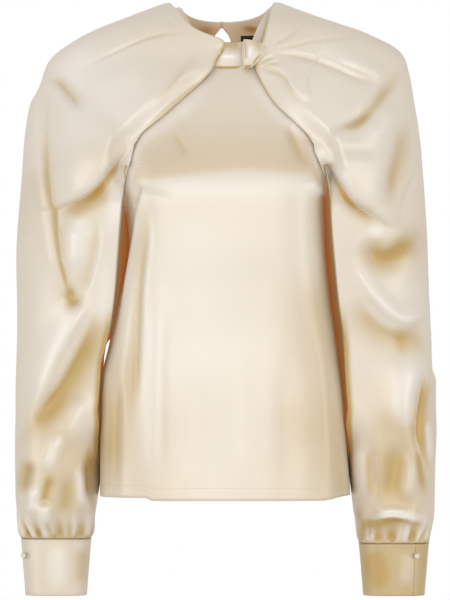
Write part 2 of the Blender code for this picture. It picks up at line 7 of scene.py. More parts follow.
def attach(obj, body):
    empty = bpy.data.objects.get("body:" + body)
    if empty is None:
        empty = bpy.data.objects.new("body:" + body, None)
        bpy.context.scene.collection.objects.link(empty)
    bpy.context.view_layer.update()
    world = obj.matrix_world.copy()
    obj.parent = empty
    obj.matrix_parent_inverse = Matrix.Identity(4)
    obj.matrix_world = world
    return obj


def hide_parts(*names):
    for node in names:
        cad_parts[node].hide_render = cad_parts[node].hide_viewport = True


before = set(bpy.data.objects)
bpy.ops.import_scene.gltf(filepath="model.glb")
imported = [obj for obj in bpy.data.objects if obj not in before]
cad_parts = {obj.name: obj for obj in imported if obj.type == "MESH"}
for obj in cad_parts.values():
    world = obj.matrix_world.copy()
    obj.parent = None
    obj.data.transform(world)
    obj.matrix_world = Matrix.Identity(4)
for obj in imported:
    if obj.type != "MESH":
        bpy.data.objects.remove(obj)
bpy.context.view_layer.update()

mm = 0.001
sides = {"right": -1, "left": 1}      # the wearer's
print("frame loaded")


# curves, ovals and grids. Everything is worked out in millimetres, z up, front towards -y

# a smooth curve through one column of a table, against its first column
def softCurve(table, column, blur=5.0):
    heights = np.array([row[0] for row in table], float)
    values = np.array([row[column] for row in table], float)
    slopes = np.diff(values) / np.diff(heights)
    tangents = np.zeros(len(values))
    tangents[0], tangents[-1] = slopes[0], slopes[-1]
    product = slopes[:-1] * slopes[1:]
    total = np.where(product > 0, slopes[:-1] + slopes[1:], 1)
    tangents[1:-1] = np.where(product > 0, 2 * product / total, 0)
    fine = np.arange(heights[0], heights[-1] + 0.5)
    i = np.clip(np.searchsorted(heights, fine, side="right") - 1, 0, len(slopes) - 1)
    step = heights[i + 1] - heights[i]
    t = (fine - heights[i]) / step
    curve = ((1 + 2 * t) * (1 - t) ** 2 * values[i] + t * (1 - t) ** 2 * step * tangents[i]
             + t * t * (3 - 2 * t) * values[i + 1] + t * t * (t - 1) * step * tangents[i + 1])
    if blur:
        reach = int(3 * blur)
        kernel = np.exp(-(np.arange(-reach, reach + 1) / blur) ** 2 / 2)
        padded = np.pad(curve, reach, mode="reflect", reflect_type="odd")
        curve = np.convolve(padded, kernel / kernel.sum(), "valid")
    return lambda z: np.interp(z, fine, curve)


# 0 before start, 1 past end, eased between
def easy(start, end, value):
    share = np.clip((value - start) / (end - start), 0, 1)
    return share * share * (3 - 2 * share)


def bent(value, power):
    return np.copysign(np.abs(value) ** (2 / power), value)


# angle 0 faces forward, pi / 2 outward
def oval(halfWidth, front, back, power, angle):
    ahead = bent(np.cos(angle), power)
    return halfWidth * bent(np.sin(angle), power), -np.where(ahead > 0, front, back) * ahead


def ovalReach(x, y, halfWidth, front, back, power):
    depth = np.where(y < 0, front, back)
    return (np.abs(x / halfWidth) ** power + np.abs(y / depth) ** power) ** (1 / power)


def angleAt(x, halfWidth, power):
    share = np.minimum(1.0, np.abs(x) / halfWidth)
    return np.copysign(np.arcsin(share ** (power / 2)), x)


def keepOutside(x, y, size, power):
    reach = np.clip(ovalReach(x, y, *size, power), 0.05, 1.0)
    return x / reach, y / reach


def evenly(x, y, count):
    xs = np.zeros((x.shape[0], count))
    ys = np.zeros((x.shape[0], count))
    share = np.linspace(0, 1, count)
    for r in range(x.shape[0]):
        run = np.concatenate([[0], np.cumsum(np.hypot(np.diff(x[r]), np.diff(y[r])))])
        run /= run[-1]
        xs[r] = np.interp(share, run, x[r])
        ys[r] = np.interp(share, run, y[r])
    return xs, ys


def gridNormals(points, closed):
    if closed:
        across = np.roll(points, -1, 1) - np.roll(points, 1, 1)
    else:
        across = np.gradient(points, axis=1)
    upward = np.gradient(points, axis=0)
    normal = np.cross(across, upward)
    return normal / np.maximum(np.linalg.norm(normal, axis=2, keepdims=True), 1e-9)


# folds, laid down as lines seen straight on: kind, widths left and right of the line, height, points.
# A lap is a cloth edge, with the width of its edge and how far it reaches. A tint is painted shade or
# painted highlight, and its height is a tone: above 0 painted shade, below 0 painted highlight, past 1
# or -1 also a painted glow.

def foldLine(points, each=7):
    points = np.array(points, float)
    if len(points) < 3:
        return np.linspace(points[0], points[-1], each + 1)
    padded = np.vstack([2 * points[0] - points[1], points, 2 * points[-1] - points[-2]])
    line = []
    for a, b, c, d in zip(padded[:-3], padded[1:-2], padded[2:-1], padded[3:]):
        for t in np.arange(each) / each:
            line.append(0.5 * (2 * b + (c - a) * t + (2 * a - 5 * b + 4 * c - d) * t * t
                               + (3 * b - a - 3 * c + d) * t ** 3))
    return np.array(line + [points[-1]])


# for each point its distance from the line, how far along it is, its side, and the way across
def measureFrom(line, x, z):
    best = np.full(x.shape, 1e9)
    along, side, acrossX, acrossZ = (np.zeros(x.shape) for _ in range(4))
    for k in range(len(line) - 1):
        startX, startZ = line[k]
        runX, runZ = line[k + 1] - line[k]
        length = math.hypot(runX, runZ) + 1e-9
        t = np.clip(((x - startX) * runX + (z - startZ) * runZ) / length ** 2, 0, 1)
        away = np.hypot(x - startX - t * runX, z - startZ - t * runZ)
        closer = away < best
        best[closer] = away[closer]
        along[closer] = ((k + t) / (len(line) - 1))[closer]
        side[closer] = np.sign((x - startX) * runZ - (z - startZ) * runX)[closer]
        acrossX[closer] = runZ / length
        acrossZ[closer] = -runX / length
    return best, along, side, acrossX, acrossZ


# the rise over a lap's edge with the dip before it, and the lean of its lip
def lapShape(out, edge, reach):
    high = 0.5 * (1 + np.tanh(out / edge))
    rise = high * np.exp(-(np.maximum(out, 0) / reach) ** 2)
    dip = (1 - high) * np.exp(-(np.minimum(out, 0) / (0.35 * reach)) ** 2)
    return rise - 0.7 * dip, 0.4 * np.exp(-((out - edge) / (2.2 * edge)) ** 2)


def foldPush(folds, x, z):
    push, tone, slideX, slideZ = (np.zeros(x.shape) for _ in range(4))
    for kind, width, height, points in folds:
        line = foldLine(points)
        widths = width if isinstance(width, tuple) else (width, width)
        spread = (1.6 if kind == "lap" else 3.2) * max(widths)
        near = ((x > line[:, 0].min() - spread) & (x < line[:, 0].max() + spread)
                & (z > line[:, 1].min() - spread) & (z < line[:, 1].max() + spread))
        if not near.any():
            continue
        away, along, side, acrossX, acrossZ = measureFrom(line, x[near], z[near])
        if kind == "lap":
            turn = -1 if height < 0 else 1
            rise, lip = lapShape(side * away * turn, *widths)
            strength = abs(height) * easy(0, 0.12, along) * easy(1.0, 0.6, along)
            push[near] += strength * rise
            slideX[near] -= turn * strength * lip * acrossX
            slideZ[near] -= turn * strength * lip * acrossZ
            continue
        ends = easy(0, 0.34, along) * easy(1.0, 0.66, along)
        wide = np.where(side > 0, widths[1], widths[0])
        changed = tone if kind == "tint" else push
        changed[near] += height * ends * np.exp(-(away / wide) ** 2)
    return push, tone, slideX, slideZ


# turning grids into cloth

def numbered(points):
    return np.arange(points.shape[0] * points.shape[1]).reshape(points.shape[:2])


def clothMesh(name, points, keep=None, closed=False, flip=False, tone=None, index=None):
    if index is None:
        index = numbered(points)
    right = np.roll(index, -1, 1) if closed else index[:, 1:]
    left = index if closed else index[:, :-1]
    faces = np.stack([left[:-1], right[:-1], right[1:], left[1:]], -1)
    if keep is not None:
        faces = faces[keep]
    faces = faces.reshape(-1, 4)
    if flip:
        faces = faces[:, ::-1]
    used = np.unique(faces)
    fresh = np.full(index.size, -1)
    fresh[used] = np.arange(len(used))
    mesh = bpy.data.meshes.new(name)
    corners = points.reshape(-1, 3)[used] * mm
    mesh.from_pydata(corners.tolist(), [], fresh[faces].tolist())
    mesh.update()
    mesh.shade_smooth()
    depth = mesh.attributes.new("tone", "FLOAT", "POINT")
    if tone is not None:
        depth.data.foreach_set("value", tone.reshape(-1)[used].astype(np.float32))
    item = bpy.data.objects.new(name, mesh)
    bpy.context.scene.collection.objects.link(item)
    return item


def thicken(item, outer, inner, thickness):
    item.data.materials.append(outer)
    item.data.materials.append(inner)
    wall = item.modifiers.new("thickness", "SOLIDIFY")
    wall.thickness = thickness * mm
    wall.offset = 0.0
    wall.use_even_offset = False
    wall.use_rim = True
    wall.material_offset = 1


def stands(item, node):
    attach(item, "root")
    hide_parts(node)


# satin, the same bolt for every piece

# bright is the painted highlight colour, fold and deep the painted shade colours, glow and lift the
# strengths of a painted glow
satinLook = {
    "bright": (0.93, 0.895, 0.86),
    "colour": (0.83, 0.76, 0.66),
    "fold": (0.55, 0.385, 0.13),
    "deep": (0.46, 0.17, 0.03),
    "drift": 0.08,
    "glow": 0.36,
    "lift": 0.30,
    "gloss": 0.40,
    "metal": 0.2,
    "sheen": 0.1,
    "weave": 0.05,
}


def fillNode(tree, node, inputs):
    for name, value in inputs.items():
        if isinstance(value, bpy.types.NodeSocket):
            tree.links.new(value, node.inputs[name])
        else:
            node.inputs[name].default_value = value
    return node


def addNode(tree, kind, inputs=None, **settings):
    node = tree.nodes.new(kind)
    for name, value in settings.items():
        setattr(node, name, value)
    return fillNode(tree, node, inputs or {})


def newMaterial(name):
    material = bpy.data.materials.new(name)
    material.use_nodes = True
    return material, material.node_tree


# the tone attribute paints light and shade into the colour: -1 painted highlight, 0 plain, 1 painted
# shade of a fold, 2 deep painted shade inside
def satin(name, bright, colour, fold, deep, gloss):
    material, tree = newMaterial(name)
    place = addNode(tree, "ShaderNodeTexCoord").outputs["Object"]
    tone = addNode(tree, "ShaderNodeAttribute", attribute_name="tone").outputs["Fac"]
    drift = addNode(tree, "ShaderNodeTexNoise", {"Vector": place, "Scale": 7.0, "Detail": 2.0})
    spread = addNode(tree, "ShaderNodeMapRange", {
        "Value": drift.outputs["Fac"], "From Min": 0.3, "From Max": 0.7,
        "To Min": -satinLook["drift"], "To Max": satinLook["drift"]})
    total = addNode(tree, "ShaderNodeMath", {0: tone, 1: spread.outputs["Result"]})
    scale = addNode(tree, "ShaderNodeMapRange", {
        "Value": total.outputs["Value"], "From Min": -1.0, "From Max": 2.0})
    ramp = addNode(tree, "ShaderNodeValToRGB", {"Fac": scale.outputs["Result"]})
    colours = ramp.color_ramp.elements
    colours[0].color = (*bright, 1)
    colours[1].color = (*deep, 1)
    colours.new(1 / 3).color = (*colour, 1)
    colours.new(2 / 3).color = (*fold, 1)
    # painted glow: the cloth gives off light of its own in the deepest folds and on the brightest edges
    glow = addNode(tree, "ShaderNodeMapRange", {
        "Value": tone, "From Min": 1.0, "From Max": 2.0, "To Max": satinLook["glow"]})
    lift = addNode(tree, "ShaderNodeMapRange", {
        "Value": tone, "From Min": -1.0, "From Max": -2.0, "To Max": satinLook["lift"]})
    light = addNode(tree, "ShaderNodeMath", {0: glow.outputs["Result"], 1: lift.outputs["Result"]})
    weave = addNode(tree, "ShaderNodeTexWave", {
        "Vector": place, "Scale": 700, "Distortion": 0.6}, bands_direction="DIAGONAL")
    bump = addNode(tree, "ShaderNodeBump", {
        "Height": weave.outputs["Fac"], "Strength": satinLook["weave"], "Distance": 0.0002})
    fillNode(tree, tree.nodes["Principled BSDF"], {
        "Base Color": ramp.outputs["Color"],
        "Emission Color": ramp.outputs["Color"],
        "Emission Strength": light.outputs["Value"],
        "Normal": bump.outputs["Normal"],
        "Roughness": gloss,
        "Sheen Weight": satinLook["sheen"],
        "Sheen Roughness": 0.4,
        "Specular IOR Level": 0.8,
        "IOR": 1.6,
        "Metallic": satinLook["metal"],
    })
    return material


outerSatin = satin("satin", satinLook["bright"], satinLook["colour"], satinLook["fold"],
                   satinLook["deep"], satinLook["gloss"])
# the reverse face: rougher, and its warmer, darker colours are painted shade for the inside of the
# garment
innerSatin = satin("satin reverse", (0.95, 0.84, 0.70), (0.88, 0.68, 0.46), (0.62, 0.33, 0.12),
                   (0.22, 0.08, 0.02), 0.5)
print("satin mixed")


# the body, front and back

wallLayer = 2.0        # between the middles of two layers of cloth
# how square each oval is, 2 being an ellipse
bodyPower = 3.2
sleevePower = 2.7
neckPower = 2.2
cuffPower = 2.4
neckHalf, neckFront, neckBack = 54.0, 62.0, 66.0
keyholeMiddle = -4.0
bodyTable = (      # height, wearer's right, left, front, back
    (-578, 155, 155, 116, 112), (-557, 155, 154, 115, 110), (-510, 155, 150, 113, 106),
    (-461, 155, 147, 112, 103), (-434, 153, 144, 111, 101), (-392, 143.5, 138, 110, 98),
    (-329, 131, 130, 112, 95), (-265, 121, 124, 116, 97), (-212, 126, 123, 117, 101),
    (-172, 136, 134, 111, 104), (-139, 144, 144, 102, 104), (-100, 150, 150, 88, 99),
    (-60, 152, 152, 70, 87), (-46, 151, 151, 64.1, 80), (-20, 146, 146, 55, 68.1),
    (0, 132, 132, 48, 58), (8, 118, 118, 43, 50), (17, 92, 92, 35, 40), (24, 70, 70, 22, 25),
    (28, 58, 58, 5, 6))
armholeTable = (      # height, degrees round from the middle of the panel
    (-172, 90), (-163, 72), (-148, 62), (-126, 57), (-90, 55), (-50, 58), (-20, 67), (0, 80),
    (8, 90))
keyholeTable = (      # height, half width
    (-93, 0.0), (-86, 6.0), (-65, 12.0), (-40, 13.5), (-15, 12.0), (-4, 9.0), (4, 3.0), (8, 0.6),
    (30, 0.6))
bodyCurves = {name: softCurve(bodyTable, i + 1, 3.0)
              for i, name in enumerate(("right", "left", "front", "back"))}
armholeAngle = softCurve(armholeTable, 1, 2.0)
keyholeHalf = softCurve(keyholeTable, 1, 0)

hem = -578.0
bodyCloth = {
    "thickness": 1.0,
    "halfColumns": 80,
    "rows": np.concatenate([np.arange(hem, -60, 3.7), np.arange(-60, 28.1, 2.0)]),
    "seamGap": 0.3,        # between front and back
    "squarer": 1.5,        # the front below the chest
    "keyholeFoot": -93,
}
bodyFolds = [
    # painted shade above the bust, where the chest slopes back, a painted highlight line at the bust
    # and a broad painted highlight down the front
    ("tint", (60, 8), 0.46, (
        (-230, -188), (-119, -185), (-43, -177), (18, -172), (80, -175), (143, -184), (240, -189))),
    ("tint", (7, 14), -0.5, (
        (-129, -203), (-92, -200), (-31, -197), (43, -195), (104, -199), (134, -205))),
    ("tint", (50, 70), -0.3, ((-31, -215), (-36, -338), (-43, -484))),
    # pressed line at the side
    ("lap", (1.5, 34), -4.5, (
        (-100, -195), (-107, -221), (-113, -262), (-124, -323), (-136, -386))),
    ("tint", (3, 4), -0.9, ((-103, -205), (-109, -252), (-119, -308), (-131, -364))),
    # hollow beside it
    ("fold", (7, 10), -3.6, ((-92, -210), (-98, -264), (-107, -338), (-111, -436), (-113, -509))),
    ("tint", (6, 11), 0.62, ((-92, -205), (-98, -264), (-105, -338), (-109, -436), (-110, -509))),
    ("fold", (12, 14), 3.6, ((-76, -301), (-82, -399), (-83, -497), (-85, -601))),
    ("tint", (8, 12), -0.3, ((-82, -276), (-87, -374), (-89, -484), (-89, -595))),
    ("fold", (6, 6), -3.0, ((-131, -426), (-134, -497), (-136, -601))),
    ("tint", (7, 7), 0.4, ((-134, -436), (-138, -497), (-142, -582))),
    ("fold", (2, 4), -1.4, ((-55, -97), (-50, -117), (-44, -134))),
    ("fold", (2, 4), -1.4, ((-62, -127), (-54, -146), (-42, -164))),
    ("tint", (2, 5), 0.2, ((-62, -127), (-54, -146), (-42, -164))),
    ("fold", (6, 8), -3.0, ((76, -112), (86, -142), (99, -176))),
    ("tint", (5, 7), 0.3, ((76, -112), (86, -142), (102, -181))),
    # lit corner at the underarm, with a painted highlight
    ("fold", (8, 8), 4, ((97, -188), (111, -200), (123, -208))),
    ("tint", (7, 7), -0.7, ((99, -193), (111, -203), (120, -217))),
    ("tint", (10, 8), -0.4, ((-116, -222), (-120, -264), (-131, -338), (-143, -399))),
    # painted golden shade towards the hem
    ("tint", (18, 20), 0.36, ((-119, -374), (-126, -436), (-131, -509), (-134, -607))),
    ("tint", (60, 44), 0.22, ((-116, -460), (-104, -521), (-92, -595), (-92, -656))),
    ("tint", (40, 60), 0.2, ((116, -436), (104, -509), (92, -595), (92, -656))),
    ("tint", (5, 5), 0.6, ((-148, -423), (-151, -484), (-152, -558))),
    # painted highlight along the drapes' edges and the sides, with a painted glow at the sides
    ("tint", (7, 7), -0.5, (
        (-13, -56), (-31, -85), (-55, -107), (-87, -129), (-105, -144), (-115, -159))),
    ("tint", (6, 7), -1.35, (
        (-102, -142), (-109, -151), (-116, -168), (-121, -197), (-126, -233), (-132, -288),
        (-140, -350), (-148, -423))),
    ("tint", (7, 7), -0.5, ((26, -46), (38, -73), (62, -105), (92, -129), (107, -144))),
    ("tint", (7, 6), -1.35, (
        (102, -142), (111, -154), (118, -166), (124, -197), (129, -233), (135, -288), (140, -350),
        (145, -423))),
    ("tint", (20, 24), 0.5, ((119, -264), (124, -338), (134, -460), (141, -582), (143, -632))),
    ("tint", (30, 26), 0.25, ((80, -288), (87, -411), (94, -582))),
    ("fold", (18, 18), -2.0, ((-36, -411), (-40, -497), (-43, -601))),
    ("fold", (22, 22), 2.4, ((13, -374), (18, -484), (21, -601))),
    ("fold", (16, 16), -2.4, ((71, -386), (77, -497), (80, -601))),
    ("fold", (12, 12), 3.0, ((114, -338), (124, -460), (129, -601))),
    ("tint", (12, 12), -0.25, ((129, -313), (134, -436), (138, -582))),
]
# folds on the back, with painted shade and painted highlights as tints
backFolds = [
    ("fold", (8, 12), -4.5, ((92, -210), (98, -300), (106, -420), (108, -640))),
    ("tint", (10, 14), 0.28, ((92, -210), (98, -300), (106, -420), (108, -640))),
    ("fold", (12, 14), 4.0, ((70, -300), (80, -460), (84, -640))),
    ("tint", 12, -0.4, ((70, -280), (80, -440), (84, -640))),
    ("fold", 18, -3.2, ((24, -340), (28, -480), (30, -640))),
    ("tint", (16, 20), 0.15, ((24, -340), (28, -480), (30, -640))),
    ("fold", 20, 3.2, ((-22, -330), (-24, -480), (-26, -640))),
    ("fold", (12, 9), -4.5, ((-88, -220), (-96, -320), (-104, -430), (-106, -640))),
    ("tint", (16, 11), 0.28, ((-88, -220), (-96, -320), (-104, -430), (-106, -640))),
    ("fold", (12, 12), 4.0, ((-68, -300), (-76, -450), (-80, -640))),
    ("tint", (60, 18), 0.15, ((-110, -176), (-40, -168), (30, -166), (110, -174))),
    ("fold", 6, -2.2, ((-50, -110), (-40, -170), (-36, -230))),
    ("fold", 6, -2.2, ((52, -100), (44, -160), (40, -215))),
]


def bodySize(z, side, grow=0.0):
    return tuple(bodyCurves[name](z) + grow for name in (side, "front", "back"))


def neckSize(grow=0.0):
    return neckHalf + grow, neckFront + grow, neckBack + grow


def frontPower(z):
    return bodyPower + bodyCloth["squarer"] * easy(-130, -200, z)


# where the panel's oval runs under the neck band, found by halving
def neckAngle(z, isFront, side):
    low = np.zeros(z.shape)
    high = np.full(z.shape, math.pi / 2)
    size = bodySize(z, side)
    for _ in range(30):
        middle = (low + high) / 2
        x, y = oval(*size, bodyPower, middle if isFront else math.pi - middle)
        inside = ovalReach(x, y, *neckSize(wallLayer), neckPower) < 1
        low = np.where(inside, middle, low)
        high = np.where(inside, high, middle)
    return np.where(high > 0.001, high, 0)


def panelHalf(isFront, side):
    z = bodyCloth["rows"]
    inner = neckAngle(z, isFront, side)
    outer = np.radians(armholeAngle(z))
    parted = inner > 0
    if not isFront:
        slit = angleAt(keyholeHalf(z) + sides[side] * keyholeMiddle,
                       bodySize(z, side)[0], bodyPower)
        slitRows = ~parted & (z > bodyCloth["keyholeFoot"])
        inner = np.where(slitRows, slit, inner)
        parted = parted | slitRows
    share = np.linspace(0, 1, 240)[None, :]
    angle = inner[:, None] + (outer - inner)[:, None] * share
    size = [part[:, None] for part in bodySize(z, side)]
    power = frontPower(z)[:, None] if isFront else bodyPower
    x, y = oval(*size, power, angle if isFront else math.pi - angle)
    x, y = evenly(x, y, bodyCloth["halfColumns"] + 1)
    return sides[side] * x, y, parted


# the hem hangs lowest in the middle, a step up near its right side and sloping up to its left
def hemDrop(x, z):
    return (2 + 3.5 * easy(-97, -89, x) - 5 * easy(118, 150, x)) * easy(-500, hem, z)


def bodyPanel(isFront):
    z = bodyCloth["rows"][:, None]
    rightX, rightY, parted = panelHalf(isFront, "right")
    leftX, leftY, _ = panelHalf(isFront, "left")
    half = bodyCloth["halfColumns"]
    gap = bodyCloth["seamGap"] / 2
    x = np.concatenate([rightX[:, ::-1], leftX], 1)
    y = np.concatenate([rightY[:, ::-1], leftY], 1) + (-gap if isFront else gap)
    middle = ~parted
    x[middle, half] = x[middle, half + 1] = 0
    points = np.stack([x, y, np.broadcast_to(z, x.shape)], 2)
    normal = gridNormals(points, False)
    if not isFront:
        normal = -normal
    outward = np.stack([x, y, 0 * x], 2)
    turn = np.sign((normal * outward).sum(2, keepdims=True))
    normal = normal * np.where(turn == 0, 1, turn)
    points[:, :, 2] -= hemDrop(x, z)
    push, tone, _, _ = foldPush(bodyFolds if isFront else backFolds, x, points[:, :, 2])
    fromEdge = np.minimum(np.arange(x.shape[1]), np.arange(x.shape[1])[::-1])[None, :]
    push = push * easy(0, 14, fromEdge)
    # painted shade along the side seams, below the drapes, with a painted glow at the very edge
    paintedShade = (1.6 * easy(5, 0, fromEdge) + 0.6 * easy(17, 3, fromEdge)) * easy(-190, -250, z)
    tone = tone * easy(0, 5, fromEdge) + paintedShade
    points = points + normal * push[:, :, None]
    return points, tone, middle


# both halves share the middle column, except where the neck or the keyhole parts them
def sewnPanel(name, isFront):
    points, tone, middle = bodyPanel(isFront)
    half = bodyCloth["halfColumns"]
    index = numbered(points)
    index[middle, half + 1] = index[middle, half]
    keep = np.ones((index.shape[0] - 1, index.shape[1] - 1), bool)
    keep[:, half] = False
    return clothMesh(name, points, keep, flip=not isFront, tone=tone, index=index)


front = sewnPanel("front_cloth", True)
back = sewnPanel("back_cloth", False)
for panel, node in ((front, "front"), (back, "back")):
    thicken(panel, outerSatin, innerSatin, bodyCloth["thickness"])
    stands(panel, node)
print("body sewn")


# the sleeves, each in one with its drape

outlineTable = (      # height, outer right, outer left, front edge right, front edge left, back edge
    (-633, 254, 254, 167, 167, 167), (-618, 257, 257, 164, 164, 164),
    (-600, 259, 260, 160, 160, 160), (-560, 261, 261, 155, 155, 155),
    (-510, 261, 261, 162, 154, 162), (-461, 260, 259, 156, 151, 157),
    (-434, 260, 258, 153.5, 149, 154), (-416, 259.5, 257.5, 151.5, 148, 153),
    (-392, 259, 257, 145.5, 147, 152), (-329, 257, 254, 137, 140, 147),
    (-265, 254, 252, 132, 134, 140), (-212, 249, 249, 127, 129, 132),
    (-172, 245, 246, 117, 117, 122), (-139, 242, 243, 107, 105, 113),
    (-116, 239, 240, 85, 82, 105), (-99, 236, 237, 67, 64, 99), (-86, 233, 235, 51, 54, 94),
    (-61, 228, 231, 22, 41, 85), (-49, 224, 228, 13, 37, 80), (-40, 220, 226, 8, 36.2, 77),
    (-27, 207, 218, 1, 40, 72), (-17, 192, 203, 0, 47, 68), (-10, 181, 187, 19, 49, 66),
    (-1, 163, 168, 38, 51, 63), (10, 135, 131, 49, 54, 60), (21, 107, 99, 56, 56, 61),
    (30, 83, 76, 67, 60, 66), (34, 72, 66, 68, 62, 66))
ovalTable = (      # height, middle's distance from the centre line, forward, front, back
    (-633, 210.5, 14, 28, 28), (-625, 210.5, 14, 33, 33), (-612, 210.5, 14, 46, 44),
    (-594, 210, 14, 56, 52), (-555, 208, 13, 61, 58), (-510, 202, 12, 62, 61),
    (-461, 166, 11, 64, 64), (-434, 146, 10, 67, 67), (-392, 118, 9, 73, 72),
    (-335, 82, 7, 83, 80), (-265, 38, 4, 100, 93), (-212, 12, 1, 111, 103),
    (-172, 0, 0, 116, 110), (-139, 0, 0, 110, 111), (-100, 0, 0, 99, 107), (-70, 0, 0, 86, 98),
    (-40, 0, 0, 72, 88), (-14, 0, 0, 66, 76), (2, 0, 0, 61, 68), (16, 0, 0, 49, 56),
    (27, 0, 0, 32, 36), (34, 0, 0, 15, 17))
outlineNames = ("outer right", "outer left", "front right", "front left", "back")
outlines = {name: softCurve(outlineTable, i + 1, 4.0 if "outer" in name else 2.5)
            for i, name in enumerate(outlineNames)}
ovals = {name: softCurve(ovalTable, i + 1, 3.0)
         for i, name in enumerate(("centre", "forward", "front", "back"))}
webTable = (      # height, share drawn in against the body right and left, and how far back
    (-560, 0, 0, 0.4), (-520, 1, 1, 0.4), (-446, 1, 1, 0.45), (-431, 0, 1, 0.5),
    (-394, 0, 1, 0.55), (-376, 1, 1, 0.62), (-342, 1, 1, 0.7))
webs = {name: softCurve(webTable, i + 1, 2.0) for i, name in enumerate(("right", "left", "depth"))}
underarm = -172.0
sleeveEnd = {"right": -633.4, "left": -639.2}

